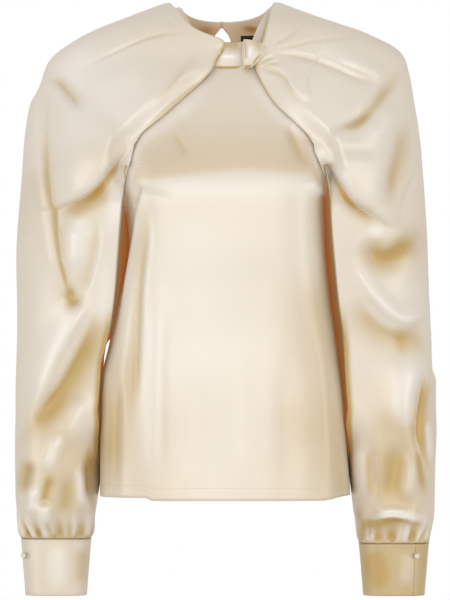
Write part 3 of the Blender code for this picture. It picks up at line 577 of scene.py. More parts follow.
sleeveCloth = {
    "thickness": 1.1,
    "frontColumns": 118,
    "backColumns": 42,
    "underColumns": 26,
    "blendColumns": 24,    # over which the front's folds give way to the back's
    # how many columns beside the body get painted shade
    "shadedColumns": 9,      # beside the body
    "restColumns": 20,     # of the drape's edge, laid on the chest
    "restHeight": 4.2,
    "edgeLimit": 0.94,
    "tubeAngle": 52,       # where the front edge ends up on the lower sleeve
    "turnShare": 0.35,     # where the inner side turns beside the body
    "sideGap": 3.0,
}
gathering = {
    "seed": {"right": 8, "left": 5},
    "gathers": 12, "depth": 2.6, "height": 50,
    "puckers": 16, "puckerDepth": 1.3, "puckerSpaces": 34,
}
sleeveRows = {side: np.concatenate([np.linspace(end, -580, 27, endpoint=False),
                                    np.arange(-580, -60, 3.7), np.arange(-60, 34.1, 2.2)])
              for side, end in sleeveEnd.items()}
# the tints on each drape are painted shade, painted shadow and painted highlights
sleeveFolds = {
    "right": [
        # where the drape narrows into the band
        ("tint", (7, 3), 0.6, ((4, -21), (2, -34), (11, -52))),
        ("fold", (4, 2), -2.2, ((7, -22), (7, -34), (16, -52))),
        ("tint", (2, 2), -0.7, ((0, -24), (1, -37), (7, -49))),
        ("tint", (40, 34), 0.42, ((196, -461), (191, -522), (196, -584), (196, -658))),
        ("tint", (80, 80), -0.55, ((92, -17), (142, -66), (174, -128), (166, -177))),
        # the shoulder drape's lower edge, with painted shadow beneath it
        ("lap", (1.8, 60), -12, (
            (110, -138), (131, -158), (143, -172), (153, -187), (166, -201), (187, -213),
            (214, -224), (233, -230))),
        ("tint", (4, 6), 1.2, ((124, -159), (138, -176), (148, -191), (160, -203), (179, -215))),
        ("tint", (3, 20), 1.0, ((144, -190), (161, -206), (184, -218), (213, -230))),
        # painted highlight on the strip next to the body
        ("tint", (8, 10), -0.9, ((111, -150), (121, -172), (131, -199), (136, -233), (139, -264))),
        # the outer strip, folded forward
        ("lap", (1.8, 70), -8, (
            (226, -61), (226, -113), (222, -169), (213, -230), (206, -281), (196, -324),
            (187, -344))),
        ("tint", (2.5, 3), 0.6, (
            (226, -42), (224, -103), (221, -165), (213, -230), (206, -281), (196, -324),
            (184, -352))),
        ("tint", (16, 2), 0.2, (
            (226, -86), (223, -153), (213, -230), (206, -281), (196, -324), (186, -345))),
        # the long v's pocket
        ("tint", (8, 8), 1.1, ((196, -320), (189, -341), (179, -330))),
        ("tint", (3, 9), 0.45, ((203, -286), (195, -318), (186, -342))),
        ("fold", (9, 9), -6, ((198, -318), (187, -340), (176, -325))),
        # pinch at the shoulder point
        ("fold", (4.5, 13), -8, ((226, -55), (208, -69), (191, -87), (171, -111))),
        ("tint", (3.5, 10), 0.9, ((226, -56), (208, -69), (191, -87), (171, -108))),
        ("fold", (4, 1.5), -1.8, ((33, -6), (81, -11), (112, -21), (145, -36), (191, -59))),
        ("tint", (5, 1.5), 0.3, ((36, -6), (81, -11), (112, -21), (145, -36), (186, -58))),
        ("fold", (14, 20), 3.0, ((92, -42), (129, -61), (159, -86))),
        ("fold", (4, 4), -1.4, ((73, 19), (63, -1))),
        # roll along the front edge
        ("fold", (6, 14), 4.5, ((27, -29), (48, -61), (74, -93), (105, -133))),
        ("tint", (5, 12), 0.22, ((36, -32), (60, -66), (88, -101), (110, -130))),
        ("tint", (16, 22), -0.5, ((159, -22), (189, -49), (203, -71))),
        ("tint", (24, 24), 0.16, ((154, -103), (159, -140), (174, -177))),
        ("tint", (10, 14), -0.35, ((208, -165), (203, -202), (201, -219))),
        # lit hollow's middle
        ("fold", (18, 18), 4, ((186, -241), (189, -271), (186, -308))),
        ("tint", (12, 14), -0.55, ((181, -232), (184, -264), (181, -313))),
        # right side of the long v
        ("fold", (12, 5), -3.2, ((154, -232), (160, -276), (170, -315), (186, -345))),
        ("tint", (14, 3), 0.42, ((152, -229), (160, -276), (170, -315), (185, -345))),
        ("tint", (9, 9), -0.45, ((144, -276), (149, -325), (157, -374))),
        # long diagonal
        ("fold", (22, 7), 7, ((164, -325), (181, -360), (206, -404), (226, -451), (250, -495))),
        ("tint", (22, 5), -0.55, ((169, -335), (191, -372), (216, -421), (235, -466))),
        # hollow beside it
        ("fold", (10, 24), -6, ((154, -357), (181, -414), (206, -456), (253, -515))),
        ("tint", (7, 24), 1.0, ((147, -328), (169, -384), (194, -431), (218, -468), (267, -530))),
        ("tint", (10, 16), 0.35, ((201, -441), (221, -471), (245, -500))),
        ("tint", (16, 16), -0.25, ((164, -451), (179, -485), (196, -517))),
        ("fold", (16, 14), 5, ((171, -451), (186, -485), (203, -517))),
        ("fold", (8, 12), 4, ((203, -498), (213, -525), (221, -552))),
        ("tint", (7, 9), -0.55, ((203, -498), (213, -525), (221, -552))),
        ("tint", (8, 10), 0.75, ((240, -530), (248, -554), (253, -582))),
        ("fold", (7, 9), -5, ((243, -535), (248, -557), (253, -579))),
        ("fold", (6, 8), -4.5, ((213, -552), (221, -577), (228, -601))),
        ("tint", (5, 8), 0.65, ((216, -547), (221, -572), (226, -594))),
        ("fold", (6, 6), 4, ((240, -564), (237, -584), (243, -604))),
        ("tint", (5, 6), -0.7, ((239, -564), (237, -584), (243, -601))),
        # blousing over the gathers
        ("tint", (5, 7), -0.6, ((230, -591), (224, -604), (216, -611))),
        ("fold", (9, 9), 4, ((233, -586), (226, -601), (213, -610))),
        ("fold", (9, 12), -4.5, ((164, -525), (166, -559), (161, -599))),
        ("tint", (6, 12), 0.65, ((166, -510), (169, -552), (171, -599))),
        ("tint", (4, 5), -0.7, ((179, -554), (175, -577), (169, -599))),
        ("fold", (6, 8), 3.5, ((179, -537), (179, -572), (174, -601))),
        ("tint", (5, 7), -0.4, ((179, -537), (180, -569), (176, -599))),
        ("fold", (10, 14), -4, ((194, -547), (196, -582), (201, -611))),
        ("tint", (8, 10), 0.35, ((194, -552), (196, -582), (201, -609))),
    ],
    "left": [
        ("tint", (6, 2), 0.5, ((39, -32), (38, -42), (36, -56))),
        # pleats fanning from the knot
        ("fold", (2, 2.5), -1.6, ((41, -49), (51, -42), (63, -38))),
        ("tint", (1.5, 2), 0.5, ((41, -49), (51, -42), (64, -37))),
        ("fold", (2, 2.5), -1.6, ((43, -50), (55, -47), (70, -47))),
        ("tint", (1.5, 2), 0.5, ((43, -50), (55, -47), (73, -47))),
        ("tint", (40, 44), 0.62, ((211, -411), (213, -510), (208, -584), (208, -658))),
        ("tint", (60, 60), -0.38, ((83, -17), (129, -79), (166, -153), (191, -202))),
        ("tint", (22, 22), 0.14, ((129, -66), (154, -103), (166, -153))),
        # the shoulder drape's lower edge, with painted shadow beneath it
        ("lap", (1.8, 60), -12, (
            (108, -143), (117, -156), (128, -167), (145, -192), (158, -211), (175, -224),
            (201, -243), (221, -249))),
        ("tint", (2, 9), 0.9, ((134, -185), (147, -204), (159, -219), (176, -232), (196, -245))),
        ("tint", (1, 4), 1.0, ((132, -180), (143, -197), (154, -213), (169, -227))),
        # bowed hollow
        ("fold", (12, 10), -6, (
            (221, -47), (206, -71), (191, -91), (174, -112), (154, -126), (124, -127))),
        ("tint", (7, 9), 0.75, (
            (222, -44), (208, -69), (191, -91), (174, -112), (154, -126), (120, -127))),
        ("tint", (7, 6), 0.5, ((184, -98), (169, -116), (154, -124), (129, -127))),
        ("fold", (8, 16), 3.5, ((213, -96), (196, -121), (166, -145))),
        ("tint", (6, 18), -0.3, ((211, -101), (191, -128), (161, -148))),
        ("fold", (3, 2), -1.6, ((54, -26), (78, -13), (99, 3))),
        ("tint", (4, 1.5), 0.2, ((54, -26), (78, -13), (99, 3))),
        ("fold", (3, 2), -1.6, ((57, -31), (118, -17), (181, -11))),
        ("tint", (5, 1.5), 0.16, ((57, -31), (118, -17), (181, -11))),
        # crease to the shoulder point
        ("fold", (2, 6), -3.0, ((53, -33), (92, -36), (129, -47), (166, -63), (206, -71))),
        ("tint", (1.5, 7), 0.36, ((63, -34), (92, -37), (129, -47), (166, -63), (206, -71))),
        ("tint", (10, 3), -0.35, ((92, -29), (134, -39), (171, -54), (198, -64))),
        ("fold", (12, 5), 3, ((129, -34), (169, -49), (201, -63))),
        # upper layer of the wrap
        ("lap", (1.0, 70), -2.6, (
            (38, -49), (55, -50), (74, -60), (81, -74), (91, -86), (105, -91), (115, -84))),
        ("tint", (1, 6), 0.45, ((38, -50), (55, -52), (73, -60), (81, -74), (91, -86), (105, -91))),
        ("fold", (6, 8), -2.4, ((132, -154), (157, -156), (191, -153))),
        ("tint", (6, 7), 0.22, ((132, -154), (157, -156), (191, -153))),
        # long upright hollow
        ("fold", (13, 13), -6, ((227, -106), (217, -148), (206, -190), (198, -232))),
        ("tint", (12, 12), 0.7, ((228, -101), (218, -148), (207, -187), (198, -229))),
        ("tint", (14, 14), -0.3, ((186, -165), (179, -197), (174, -219))),
        ("tint", (7, 5), -0.8, ((174, -249), (186, -254), (198, -251))),
        # broad pocket
        ("fold", (16, 18), -8, ((164, -261), (184, -281), (206, -288), (233, -254))),
        ("tint", (15, 18), 0.85, (
            (164, -266), (179, -275), (197, -282), (214, -277), (229, -261), (238, -234))),
        ("tint", (12, 10), 0.3, ((174, -276), (197, -288), (218, -276), (230, -254))),
        # swag's rim
        ("fold", (14, 6), 8, (
            (157, -283), (174, -320), (195, -347), (217, -362), (238, -357), (253, -335))),
        ("tint", (12, 6), -0.6, (
            (157, -286), (171, -315), (196, -345), (217, -358), (235, -355), (249, -333))),
        ("tint", (14, 18), -0.25, ((191, -315), (218, -328), (240, -308))),
        ("fold", (9, 24), -5, ((157, -333), (184, -370), (216, -387), (250, -377))),
        ("tint", (7, 20), 0.62, ((157, -328), (181, -365), (211, -379), (245, -370))),
        ("tint", (14, 14), 0.5, ((206, -394), (226, -389), (250, -384))),
        # long bright run, with a painted highlight
        ("fold", (18, 24), 6.5, ((248, -402), (228, -434), (219, -466), (221, -503))),
        ("tint", (13, 15), -1.0, ((245, -402), (227, -436), (222, -466), (226, -505))),
        ("lap", (1.4, 26), -5, ((250, -421), (243, -451), (239, -483), (240, -515), (253, -564))),
        ("tint", (5, 1.5), 1.0, ((248, -419), (243, -451), (239, -483), (240, -510), (251, -552))),
        ("tint", (4, 3), -0.9, ((246, -485), (249, -510), (254, -542))),
        ("fold", (14, 12), -4.5, ((213, -510), (208, -547), (201, -591))),
        ("tint", (18, 22), 0.45, ((213, -517), (208, -552), (206, -594))),
        ("tint", (5, 5), 0.6, ((238, -517), (240, -547), (248, -584))),
        ("fold", (8, 7), 3.4, ((164, -510), (164, -547), (169, -589))),
        ("tint", (6, 4), -0.5, ((166, -517), (166, -547), (170, -584))),
        ("tint", (5, 3), 0.45, ((176, -517), (176, -552), (180, -589))),
        ("tint", (3, 6), 0.6, ((148, -431), (154, -498), (157, -547))),
        ("fold", (8, 5), -3.5, ((179, -510), (180, -547), (184, -590))),
        ("fold", (9, 8), 3, ((230, -522), (228, -559), (221, -589))),
        ("tint", (8, 8), -0.35, ((232, -522), (228, -559), (222, -584))),
        # blousing over the gathers, with a painted highlight and glow on it and painted shade below
        ("fold", (8, 4), 7, ((184, -606), (198, -601), (218, -601), (253, -610))),
        ("tint", (4, 3), -1.9, ((184, -604), (201, -601), (221, -602), (253, -610))),
        ("fold", (5, 8), -5.5, ((191, -616), (216, -615), (250, -622))),
        ("tint", (3, 9), 0.75, ((164, -614), (186, -612), (216, -610), (253, -619))),
        ("fold", (9, 8), -5, ((169, -604), (174, -621), (181, -631))),
        ("tint", (9, 7), 0.8, ((157, -591), (168, -614), (181, -633))),
    ],
}
# folds on the back of each sleeve, with painted shade and painted highlights as tints
sleeveBackFolds = [
    ("lap", (2.4, 60), -10, ((112, -150), (130, -178), (152, -204), (184, -226), (222, -242))),
    ("tint", (6, 14), 0.55, ((128, -180), (152, -208), (184, -232), (218, -246))),
    ("fold", (8, 12), -6, ((216, -60), (196, -90), (172, -118), (130, -136))),
    ("tint", (6, 12), 0.3, ((216, -62), (196, -92), (172, -120), (134, -138))),
    ("fold", 5, -3, ((70, 4), (120, -14), (180, -46))),
    ("fold", (14, 10), -7, ((226, -120), (214, -180), (204, -240))),
    ("tint", 12, 0.25, ((226, -120), (214, -180), (204, -240))),
    ("fold", (10, 16), -8, ((168, -262), (190, -288), (216, -294), (240, -262))),
    ("tint", (14, 16), 0.4, ((168, -262), (190, -286), (216, -292), (240, -262))),
    ("fold", (16, 9), 8, ((160, -300), (186, -350), (210, -400), (236, -440))),
    ("fold", (12, 20), -8, ((164, -350), (188, -404), (212, -450), (244, -486))),
    ("tint", (10, 22), 0.42, ((164, -350), (188, -404), (212, -450), (244, -486))),
    ("fold", (10, 14), 5, ((178, -486), (196, -530), (214, -566))),
    ("tint", 10, -0.5, ((178, -486), (196, -530), (214, -566))),
    ("fold", (10, 12), -6, ((172, -530), (178, -570), (176, -606))),
    ("tint", (10, 12), 0.28, ((172, -530), (178, -570), (176, -606))),
    ("fold", (8, 12), -5, ((226, -520), (234, -560), (238, -596))),
    ("tint", (8, 12), 0.28, ((226, -520), (234, -560), (238, -596))),
]


def sleeveOval(z, side):
    centre = ovals["centre"](z)
    size = (outlines["outer " + side](z) - centre, ovals["front"](z), ovals["back"](z))
    return centre, ovals["forward"](z), size


def edgeAngle(z, side, name):
    centre, _, size = sleeveOval(z, side)
    edge = np.minimum(centre + sleeveCloth["edgeLimit"] * size[0], outlines[name](z))
    angle = angleAt(edge - centre, size[0], sleevePower)
    return angle + (-math.radians(sleeveCloth["tubeAngle"]) - angle) * easy(-470, -560, z)


def ovalPlace(z, side, angle):
    centre, forward, size = sleeveOval(z, side)
    x, y = oval(*size, sleevePower, angle)
    return centre + x, y - forward


# the side next to the body: in from the back edge, a turn, then out to the front edge
def innerSide(z, side, share):
    start, end = math.pi - edgeAngle(z, side, "back"), edgeAngle(z, side, "front " + side)
    startX, startY = ovalPlace(z, side, start)
    endX, endY = ovalPlace(z, side, end)
    halfWidth, _, backDepth = bodySize(z, side, sleeveCloth["sideGap"])
    web, depth = webs[side](z), webs["depth"](z)
    turnShare = sleeveCloth["turnShare"]
    turnX = startX + (endX - startX) * turnShare
    turnX += (halfWidth * (1 - depth ** bodyPower) ** (1 / bodyPower) - turnX) * web
    turnY = startY + (endY - startY) * turnShare
    turnY += (depth * backDepth - turnY) * web
    first = share < turnShare
    t = np.where(first, share / turnShare, (share - turnShare) / (1 - turnShare))
    x = np.where(first, startX + (turnX - startX) * t, turnX + (endX - turnX) * t)
    y = np.where(first, startY + (turnY - startY) * t, turnY + (endY - turnY) * t)
    roundX, roundY = ovalPlace(z, side, start + (end + 2 * math.pi - start) * share)
    tube = easy(-490, -565, z)
    return x + (roundX - x) * tube, y + (roundY - y) * tube


def sleevePoints(side):
    z = sleeveRows[side][:, None]
    toSide = np.linspace(0, 1, 300)[None, :]
    start, end = edgeAngle(z, side, "front " + side), math.pi - edgeAngle(z, side, "back")
    runs = (ovalPlace(z, side, start + (math.pi / 2 - start) * toSide),
            ovalPlace(z, side, math.pi / 2 + (end - math.pi / 2) * toSide),
            innerSide(z, side, np.linspace(0, 1, 200)[None, :] + 0 * z))
    counts = [sleeveCloth[name] for name in ("frontColumns", "backColumns", "underColumns")]
    (frontX, frontY), (backX, backY), (underX, underY) = (
        evenly(*run, count) for run, count in zip(runs, (counts[0] + 1, counts[1] + 1, counts[2] + 2)))
    x = np.concatenate([frontX, backX[:, 1:], underX[:, 1:-1]], 1)
    y = np.concatenate([frontY, backY[:, 1:], underY[:, 1:-1]], 1)
    return x, y, counts[0], counts[0] + counts[1] + 1


# how strongly the front's folds and the back's show in each column
def foldWeights(column, columns, outerColumn, drapeColumns):
    underHalf = drapeColumns + (columns - drapeColumns) / 2
    past = np.maximum(column - outerColumn, 0)
    blend = sleeveCloth["blendColumns"]
    frontWeight = np.where(column >= underHalf, easy(underHalf, columns, column), easy(blend, 0, past))
    backWeight = np.where(column < drapeColumns, easy(0, blend, past),
                          easy(underHalf, drapeColumns, column))
    isFront = (column <= outerColumn) | (column >= underHalf)
    return np.where(column <= outerColumn, 1.0, frontWeight), np.where(isFront, 0.0, backWeight)


# deep painted shade with a painted glow inside, painted shade along the edge beside the body, and a
# little painted shade on the drape's rim
def paintedEdgeShading(z, column, columns, outerColumn, drapeColumns):
    inside = easy(0, 7, np.minimum(column - drapeColumns, columns - column) + 1)
    inside = 2.0 * inside * (column >= drapeColumns) * easy(-600, -470, z)
    paintedShade = easy(sleeveCloth["shadedColumns"], 0, column) * (column <= outerColumn)
    paintedShade = 1.25 * paintedShade ** 1.5 * easy(-330, -400, z) * easy(-560, -510, z)
    return inside + paintedShade + 0.6 * easy(2.5, 0, column) * easy(-230, -200, z)


# rolls and small sharp puckers round the wrist; low is the height above the cuff
def gathers(side, ring, low):
    rng = np.random.default_rng(gathering["seed"][side])
    push = np.zeros(low.shape)
    count = gathering["gathers"]
    for k in range(count):
        place = (k + rng.uniform(-0.34, 0.34)) / count
        tall = gathering["height"] * rng.uniform(0.6, 1.25)
        deep = gathering["depth"] * rng.uniform(0.5, 1.3)
        away = np.abs((ring - place + 0.5) % 1 - 0.5) * count
        fade = easy(0, 7, low) * easy(tall, 4, low)
        push += deep * fade * (1.6 * np.exp(-(away / 0.3) ** 2) - 0.55 / count)
    for k in range(gathering["puckers"]):
        place = rng.uniform(0, 1)
        away = np.abs((ring - place + 0.5) % 1 - 0.5) * gathering["puckerSpaces"]
        tall = rng.uniform(7, 26)
        sharp = easy(0, 3, low) * easy(tall, 2, low) * np.exp(-(away / 0.45) ** 2)
        push -= gathering["puckerDepth"] * sharp
    # painted shade just above the cuff and in the valleys of the gathers, painted highlight on their
    # ridges
    tone = 0.55 * easy(30, 4, low) - np.clip(push, -2.5, 2.5) * 0.3 * easy(42, 6, low)
    return push, tone


# brings the drape's front edge back to rest on the chest
def settle(side, column, outerColumn, points):
    x, y, z = points[:, :, 0], points[:, :, 1], points[:, :, 2]
    half, front, _ = bodySize(z, side)
    power = frontPower(z)
    share = np.clip(np.abs(x) / half, 0, 0.97)
    chest = -front * (1 - share ** power) ** (1 / power) - sleeveCloth["restHeight"]
    rests = easy(sleeveCloth["restColumns"], 0, column) * (column <= outerColumn)
    rests = rests * easy(-222, -178, z) * easy(-45, -75, z)
    return rests * np.maximum(chest - y, 0)


def clearOfBody(side, points):
    x, y, z = points[:, :, 0], points[:, :, 1], points[:, :, 2]
    layer = 1.5 + 1.4 * easy(-200, -165, z) + 0.7 * easy(-150, -110, z)
    power = np.where(y < 0, frontPower(z), bodyPower)
    x, y = keepOutside(x, y, bodySize(z, side, layer), power)
    x, y = keepOutside(x, y, neckSize(wallLayer), neckPower)
    return np.stack([sides[side] * x, y, z], 2)


def buildSleeve(side):
    x, y, outerColumn, drapeColumns = sleevePoints(side)
    rows, columns = x.shape
    z = np.broadcast_to(sleeveRows[side][:, None], x.shape)
    points = np.stack([x, y, z], 2)
    normal = gridNormals(points, True)
    outward = np.stack([x - ovals["centre"](z), y, 0 * x], 2)
    normal = normal * np.sign((normal * outward).sum(2).mean())
    column = np.arange(columns)[None, :]
    frontWeight, backWeight = foldWeights(column, columns, outerColumn, drapeColumns)
    ahead, behind = foldPush(sleeveFolds[side], x, z), foldPush(sleeveBackFolds, x, z)
    push, tone, slideX, slideZ = (one * frontWeight + other * backWeight
                                  for one, other in zip(ahead, behind))
    gathered, gatherShading = gathers(side, column / columns, z - sleeveEnd[side])
    tone = tone + paintedEdgeShading(z, column, columns, outerColumn, drapeColumns) + gatherShading
    points = points + normal * (push + gathered)[:, :, None]
    points[:, :, 0] += slideX
    points[:, :, 2] += slideZ
    points[:, :, 1] += settle(side, column, outerColumn, points)
    points = clearOfBody(side, points)
    # the drape is open underneath, above the underarm
    keep = np.ones((rows - 1, columns), bool)
    above = sleeveRows[side][1:] > underarm + 0.1
    keep[np.ix_(above, np.arange(drapeColumns - 1, columns))] = False
    return clothMesh("sleeve_cloth_" + side, points, keep, closed=True, flip=(side == "right"),
                     tone=tone)


sleeves = {}
for side in sides:
    sleeves[side] = buildSleeve(side)
    thicken(sleeves[side], outerSatin, innerSatin, sleeveCloth["thickness"])
    stands(sleeves[side], "sleeve_" + side)
print("sleeves draped")


# neck band, knot and label

bandCloth = {
    "thickness": 1.2, "columns": 220, "rows": 18,
    "depth": 30, "frontDepth": 32.5,
    "bulge": 1.2, "frontBulge": 5.6,
}
# painted shade at the band's top, a painted highlight across it and a painted shadow with a glow along
# its lower edge
bandFolds = [
    ("tint", (4, 9), 0.8, ((-6, -17), (8, -19), (22, -19))),
    ("fold", (3, 7), -1.6, ((-6, -20), (8, -22), (22, -21))),
    ("fold", (6, 6), 1.8, ((-12, -36), (8, -36), (26, -36))),
    ("tint", (5, 6), -0.9, ((-12, -37), (8, -37), (26, -37))),
    ("tint", (1.6, 2.2), 1.5, ((-24, -50.5), (6, -50.5), (40, -50.5))),
]


def bandTop(angle):
    ahead = np.cos(angle)
    return 27 - np.where(ahead > 0, 46 * np.abs(ahead) ** 0.4, 13 * np.abs(ahead) ** 1.3)


# painted highlight on two stretches and painted shade, with a painted glow, in two places inside the
# back of the neck
def paintedNeckShading(x, z):
    litLeft = easy(2, 20, z) * np.exp(-((x - 20) / 34) ** 2)
    litRight = easy(8, 22, z) * np.exp(-((x + 26) / 22) ** 2)
    neckShadeLeft = np.exp(-((x + z - 38) / 9) ** 2 - ((z - 4) / 5) ** 2)
    neckShadeRight = np.exp(-((x + 24) / 13) ** 2 - ((z - 2) / 7) ** 2)
    return 1.7 * neckShadeLeft + 0.9 * neckShadeRight - 1.1 * litLeft - 0.8 * litRight


# the band is parted by the keyhole, and meets it at the same slant
def buildBand():
    share = np.linspace(0, 1, bandCloth["columns"] + 1)[None, :]
    up = np.linspace(0, 1, bandCloth["rows"] + 1)[:, None]
    evenAngle = math.pi * (2 * share - 1) + 0 * up
    ahead = easy(0.7, 0.95, np.cos(evenAngle))
    depth = bandCloth["depth"] + (bandCloth["frontDepth"] - bandCloth["depth"]) * ahead
    z = bandTop(evenAngle) - depth * (1 - up)
    size = neckSize()
    fromLeft = math.pi - angleAt(keyholeHalf(z) + keyholeMiddle, size[0], neckPower)
    fromRight = math.pi - angleAt(keyholeHalf(z) - keyholeMiddle, size[0], neckPower)
    x, y = oval(*size, neckPower, -fromRight + (fromLeft + fromRight) * share)
    push, tone, _, _ = foldPush(bandFolds, x, z)
    bulge = bandCloth["bulge"] * np.sin(math.pi * up)
    bulge = bulge + ahead * (bandCloth["frontBulge"] - 3.2 * up ** 2)
    scale = 1 + (bulge + push * (y < 0)) / 60
    tone = tone * (y < 0) + easy(-5, 5, y) * paintedNeckShading(x, z)
    return clothMesh("neck_band_cloth", np.stack([x * scale, y * scale, z], 2), tone=tone)


band = buildBand()
thicken(band, outerSatin, innerSatin, bandCloth["thickness"])
stands(band, "neck_band")

knotCloth = {
    "rows": 70, "columns": 128,
    "inner": 21, "depth": 9.5, "middle": -74,
    "outer": (      # height, how far out it reaches
        (-52, 34), (-48, 38), (-42, 43), (-36, 50), (-30, 52), (-25, 50), (-20, 46), (-16, 30)),
}
# the knot's tints are painted shade and a painted highlight
knotFolds = [
    ("fold", (1.2, 1.6), 1.6, ((23, -16), (24, -30), (23, -49))),
    ("fold", (1.0, 1.2), -1.2, ((27, -13), (26.5, -28), (26, -46))),
    ("tint", (1.0, 1.4), 0.7, ((25, -14), (25.5, -28), (25, -48))),
    ("fold", (2.5, 2.5), 1.4, ((31, -20), (31, -32), (29, -44))),
    ("tint", (3, 3), -1.0, ((31, -22), (31, -32), (29, -42))),
    ("tint", (4, 7), 0.5, ((40, -16), (41, -24), (42, -34))),
    ("fold", (1.4, 2), -1.4, ((34, -48), (38, -42), (45, -34))),
    ("tint", (1.2, 1.2), 0.9, ((33, -49), (38, -42), (46, -33))),
    ("fold", (1.4, 2), -1.2, ((34, -50), (41, -46), (48, -41))),
    ("tint", (1.0, 1.2), 0.8, ((34, -50), (41, -46), (49, -41))),
    ("tint", (2, 4), 1.0, ((22, -50), (28, -50), (35, -49))),
]


def buildKnot():
    outerSide = softCurve(knotCloth["outer"], 1, 1.5)
    low, high = knotCloth["outer"][0][0], knotCloth["outer"][-1][0]
    z = np.linspace(low, high, knotCloth["rows"])[:, None]
    cap = np.sqrt(np.clip(1 - np.abs(2 * (z - low) / (high - low) - 1) ** 5, 0, 1))
    turn = np.linspace(0, 2 * math.pi, knotCloth["columns"], endpoint=False)[None, :]
    half = (outerSide(z) - knotCloth["inner"]) / 2
    x = knotCloth["inner"] + half + half * bent(np.cos(turn), 3.4) * (0.5 + 0.5 * cap)
    past = easy(36, 54, x)      # towards the drape it flattens and turns back
    depth = knotCloth["depth"] * cap * (1 - 0.5 * past)
    y = knotCloth["middle"] + 3.5 * past + depth * bent(np.sin(turn), 2.4)
    push, tone, _, _ = foldPush(knotFolds, x, z + 0 * x)
    y = y - push * (np.sin(turn) < 0) * cap
    return clothMesh("knot_cloth", np.stack([x, y, z + 0 * x], 2), closed=True, tone=tone)


knot = buildKnot()
knot.data.materials.append(outerSatin)
stands(knot, "knot")


def plain(name, colour, rough):
    material, tree = newMaterial(name)
    place = addNode(tree, "ShaderNodeTexCoord").outputs["Object"]
    drift = addNode(tree, "ShaderNodeTexNoise", {"Vector": place, "Scale": 900})
    mixed = addNode(tree, "ShaderNodeMix", {
        "Factor": drift.outputs["Fac"], "A": (*colour, 1), "B": (*[part * 0.75 for part in colour], 1)},
        data_type="RGBA")
    fillNode(tree, tree.nodes["Principled BSDF"], {
        "Base Color": mixed.outputs["Result"], "Roughness": rough})
    return material


tape = plain("label tape", (0.035, 0.022, 0.018), 0.7)
thread = plain("thread", (0.8, 0.7, 0.55), 0.6)


neckLabel = {"thickness": 0.6, "left": (20, 46), "height": (-16, -3.8), "inside": 2.0}


def buildLabel():
    share = np.linspace(0, 1, 25)[None, :]
    z = np.linspace(*neckLabel["height"], 13)[:, None]
    size = neckSize(-neckLabel["inside"])
    start, end = (math.pi - angleAt(x, size[0], neckPower) for x in neckLabel["left"])
    x, y = oval(*size, neckPower, start + (end - start) * share + 0 * z)
    return clothMesh("neck_label", np.stack([x, y, z + 0 * x], 2), flip=True)


label = buildLabel()
thicken(label, tape, tape, neckLabel["thickness"])
stands(label, "label")
print("neck dressed")


# cuffs, buttons and thread loops

cuffCloth = {
    "thickness": 1.6, "columns": 160, "rows": 26,
    "centre": 210.5, "forward": 14, "half": (43, 27), "endHalf": (37.5, 25),
    "top": {"right": -634.2, "left": -639.8}, "bottom": -705,
    "slit": 0.003,         # half its angle
    # painted shade over each cuff, deeper on its front
    "tone": 0.15, "frontShade": {"right": 0.15, "left": 0.84},
    "buttonHeight": -655, "buttonAngle": {"right": 59, "left": 34},
}
fastening = {
    "buttonRadius": 3.6, "threadRadius": 0.55,
    "loopWidth": 6.0, "loopHeight": 3.7,
    "proud": cuffCloth["thickness"] / 2 + 0.35,
}
# the cuffs' tints are painted shade and painted highlights
cuffFolds = {
    "right": [
        ("tint", (8, 10), 0.4, ((178, -640), (180, -665), (182, -700))),
        ("fold", (8, 8), 0.8, ((205, -640), (206, -670), (204, -700))),
        ("tint", (10, 10), -0.5, ((206, -640), (208, -668), (206, -700))),
    ],
    "left": [
        ("tint", (10, 12), 0.35, ((184, -645), (190, -670), (196, -702))),
        ("tint", (10, 8), -0.4, ((226, -645), (226, -668), (220, -700))),
        ("fold", (7, 7), 0.8, ((224, -645), (224, -670), (220, -700))),
    ],
}


def cuffPoint(side, angle, z):
    narrowing = (cuffCloth["top"][side] - z) / (cuffCloth["top"][side] - cuffCloth["bottom"])
    halfX, halfY = (wide + (end - wide) * narrowing
                    for wide, end in zip(cuffCloth["half"], cuffCloth["endHalf"]))
    x, y = oval(halfX, halfY, halfY, cuffPower, angle)
    return np.stack([sides[side] * (cuffCloth["centre"] + x),
                     y - cuffCloth["forward"], z + 0 * x], -1)


# level, away from the middle of the cuff
def cuffOutward(side, points):
    away = points - np.array([sides[side] * cuffCloth["centre"], -cuffCloth["forward"], 0])
    away[..., 2] = 0
    return away / np.linalg.norm(away, axis=-1, keepdims=True)


def cuffAngles(side, gap):
    opening = math.radians(cuffCloth["buttonAngle"][side])
    return np.linspace(opening + gap, opening + 2 * math.pi - gap, cuffCloth["columns"] + 1)


def buildCuff(side):
    angle = cuffAngles(side, cuffCloth["slit"])[None, :]
    up = np.linspace(0, 1, cuffCloth["rows"] + 1)[:, None]
    z = cuffCloth["bottom"] + (cuffCloth["top"][side] - cuffCloth["bottom"]) * up
    points = cuffPoint(side, angle + 0 * up, z)
    push, tone, _, _ = foldPush(cuffFolds[side], sides[side] * points[:, :, 0], points[:, :, 2])
    # painted shade, deeper towards the front
    paintedShade = cuffCloth["frontShade"][side] - cuffCloth["tone"]
    tone = tone + cuffCloth["tone"] + paintedShade * easy(0, -30, points[:, :, 1])
    points = points + cuffOutward(side, points) * push[:, :, None]
    return clothMesh("cuff_cloth_" + side, points, flip=(side == "right"), tone=tone)


def facing(place, outward):
    level = Vector((0, 0, 1)).cross(outward).normalized()
    turn = Matrix((level, outward.cross(level), outward)).transposed().to_4x4()
    return Matrix.Translation(place * mm) @ turn


def buildButton(name, place, outward):
    radius = fastening["buttonRadius"]
    phi = np.linspace(-math.pi / 2, math.pi / 2, 25)[:, None]
    turn = np.linspace(0, 2 * math.pi, 48, endpoint=False)[None, :]
    points = radius * np.stack([np.cos(phi) * np.cos(turn), np.cos(phi) * np.sin(turn),
                                np.sin(phi) + 0 * turn], 2)
    item = clothMesh(name, points, closed=True)
    item.data.transform(facing(place + outward * (fastening["proud"] + radius), outward))
    item.data.materials.append(outerSatin)
    return item


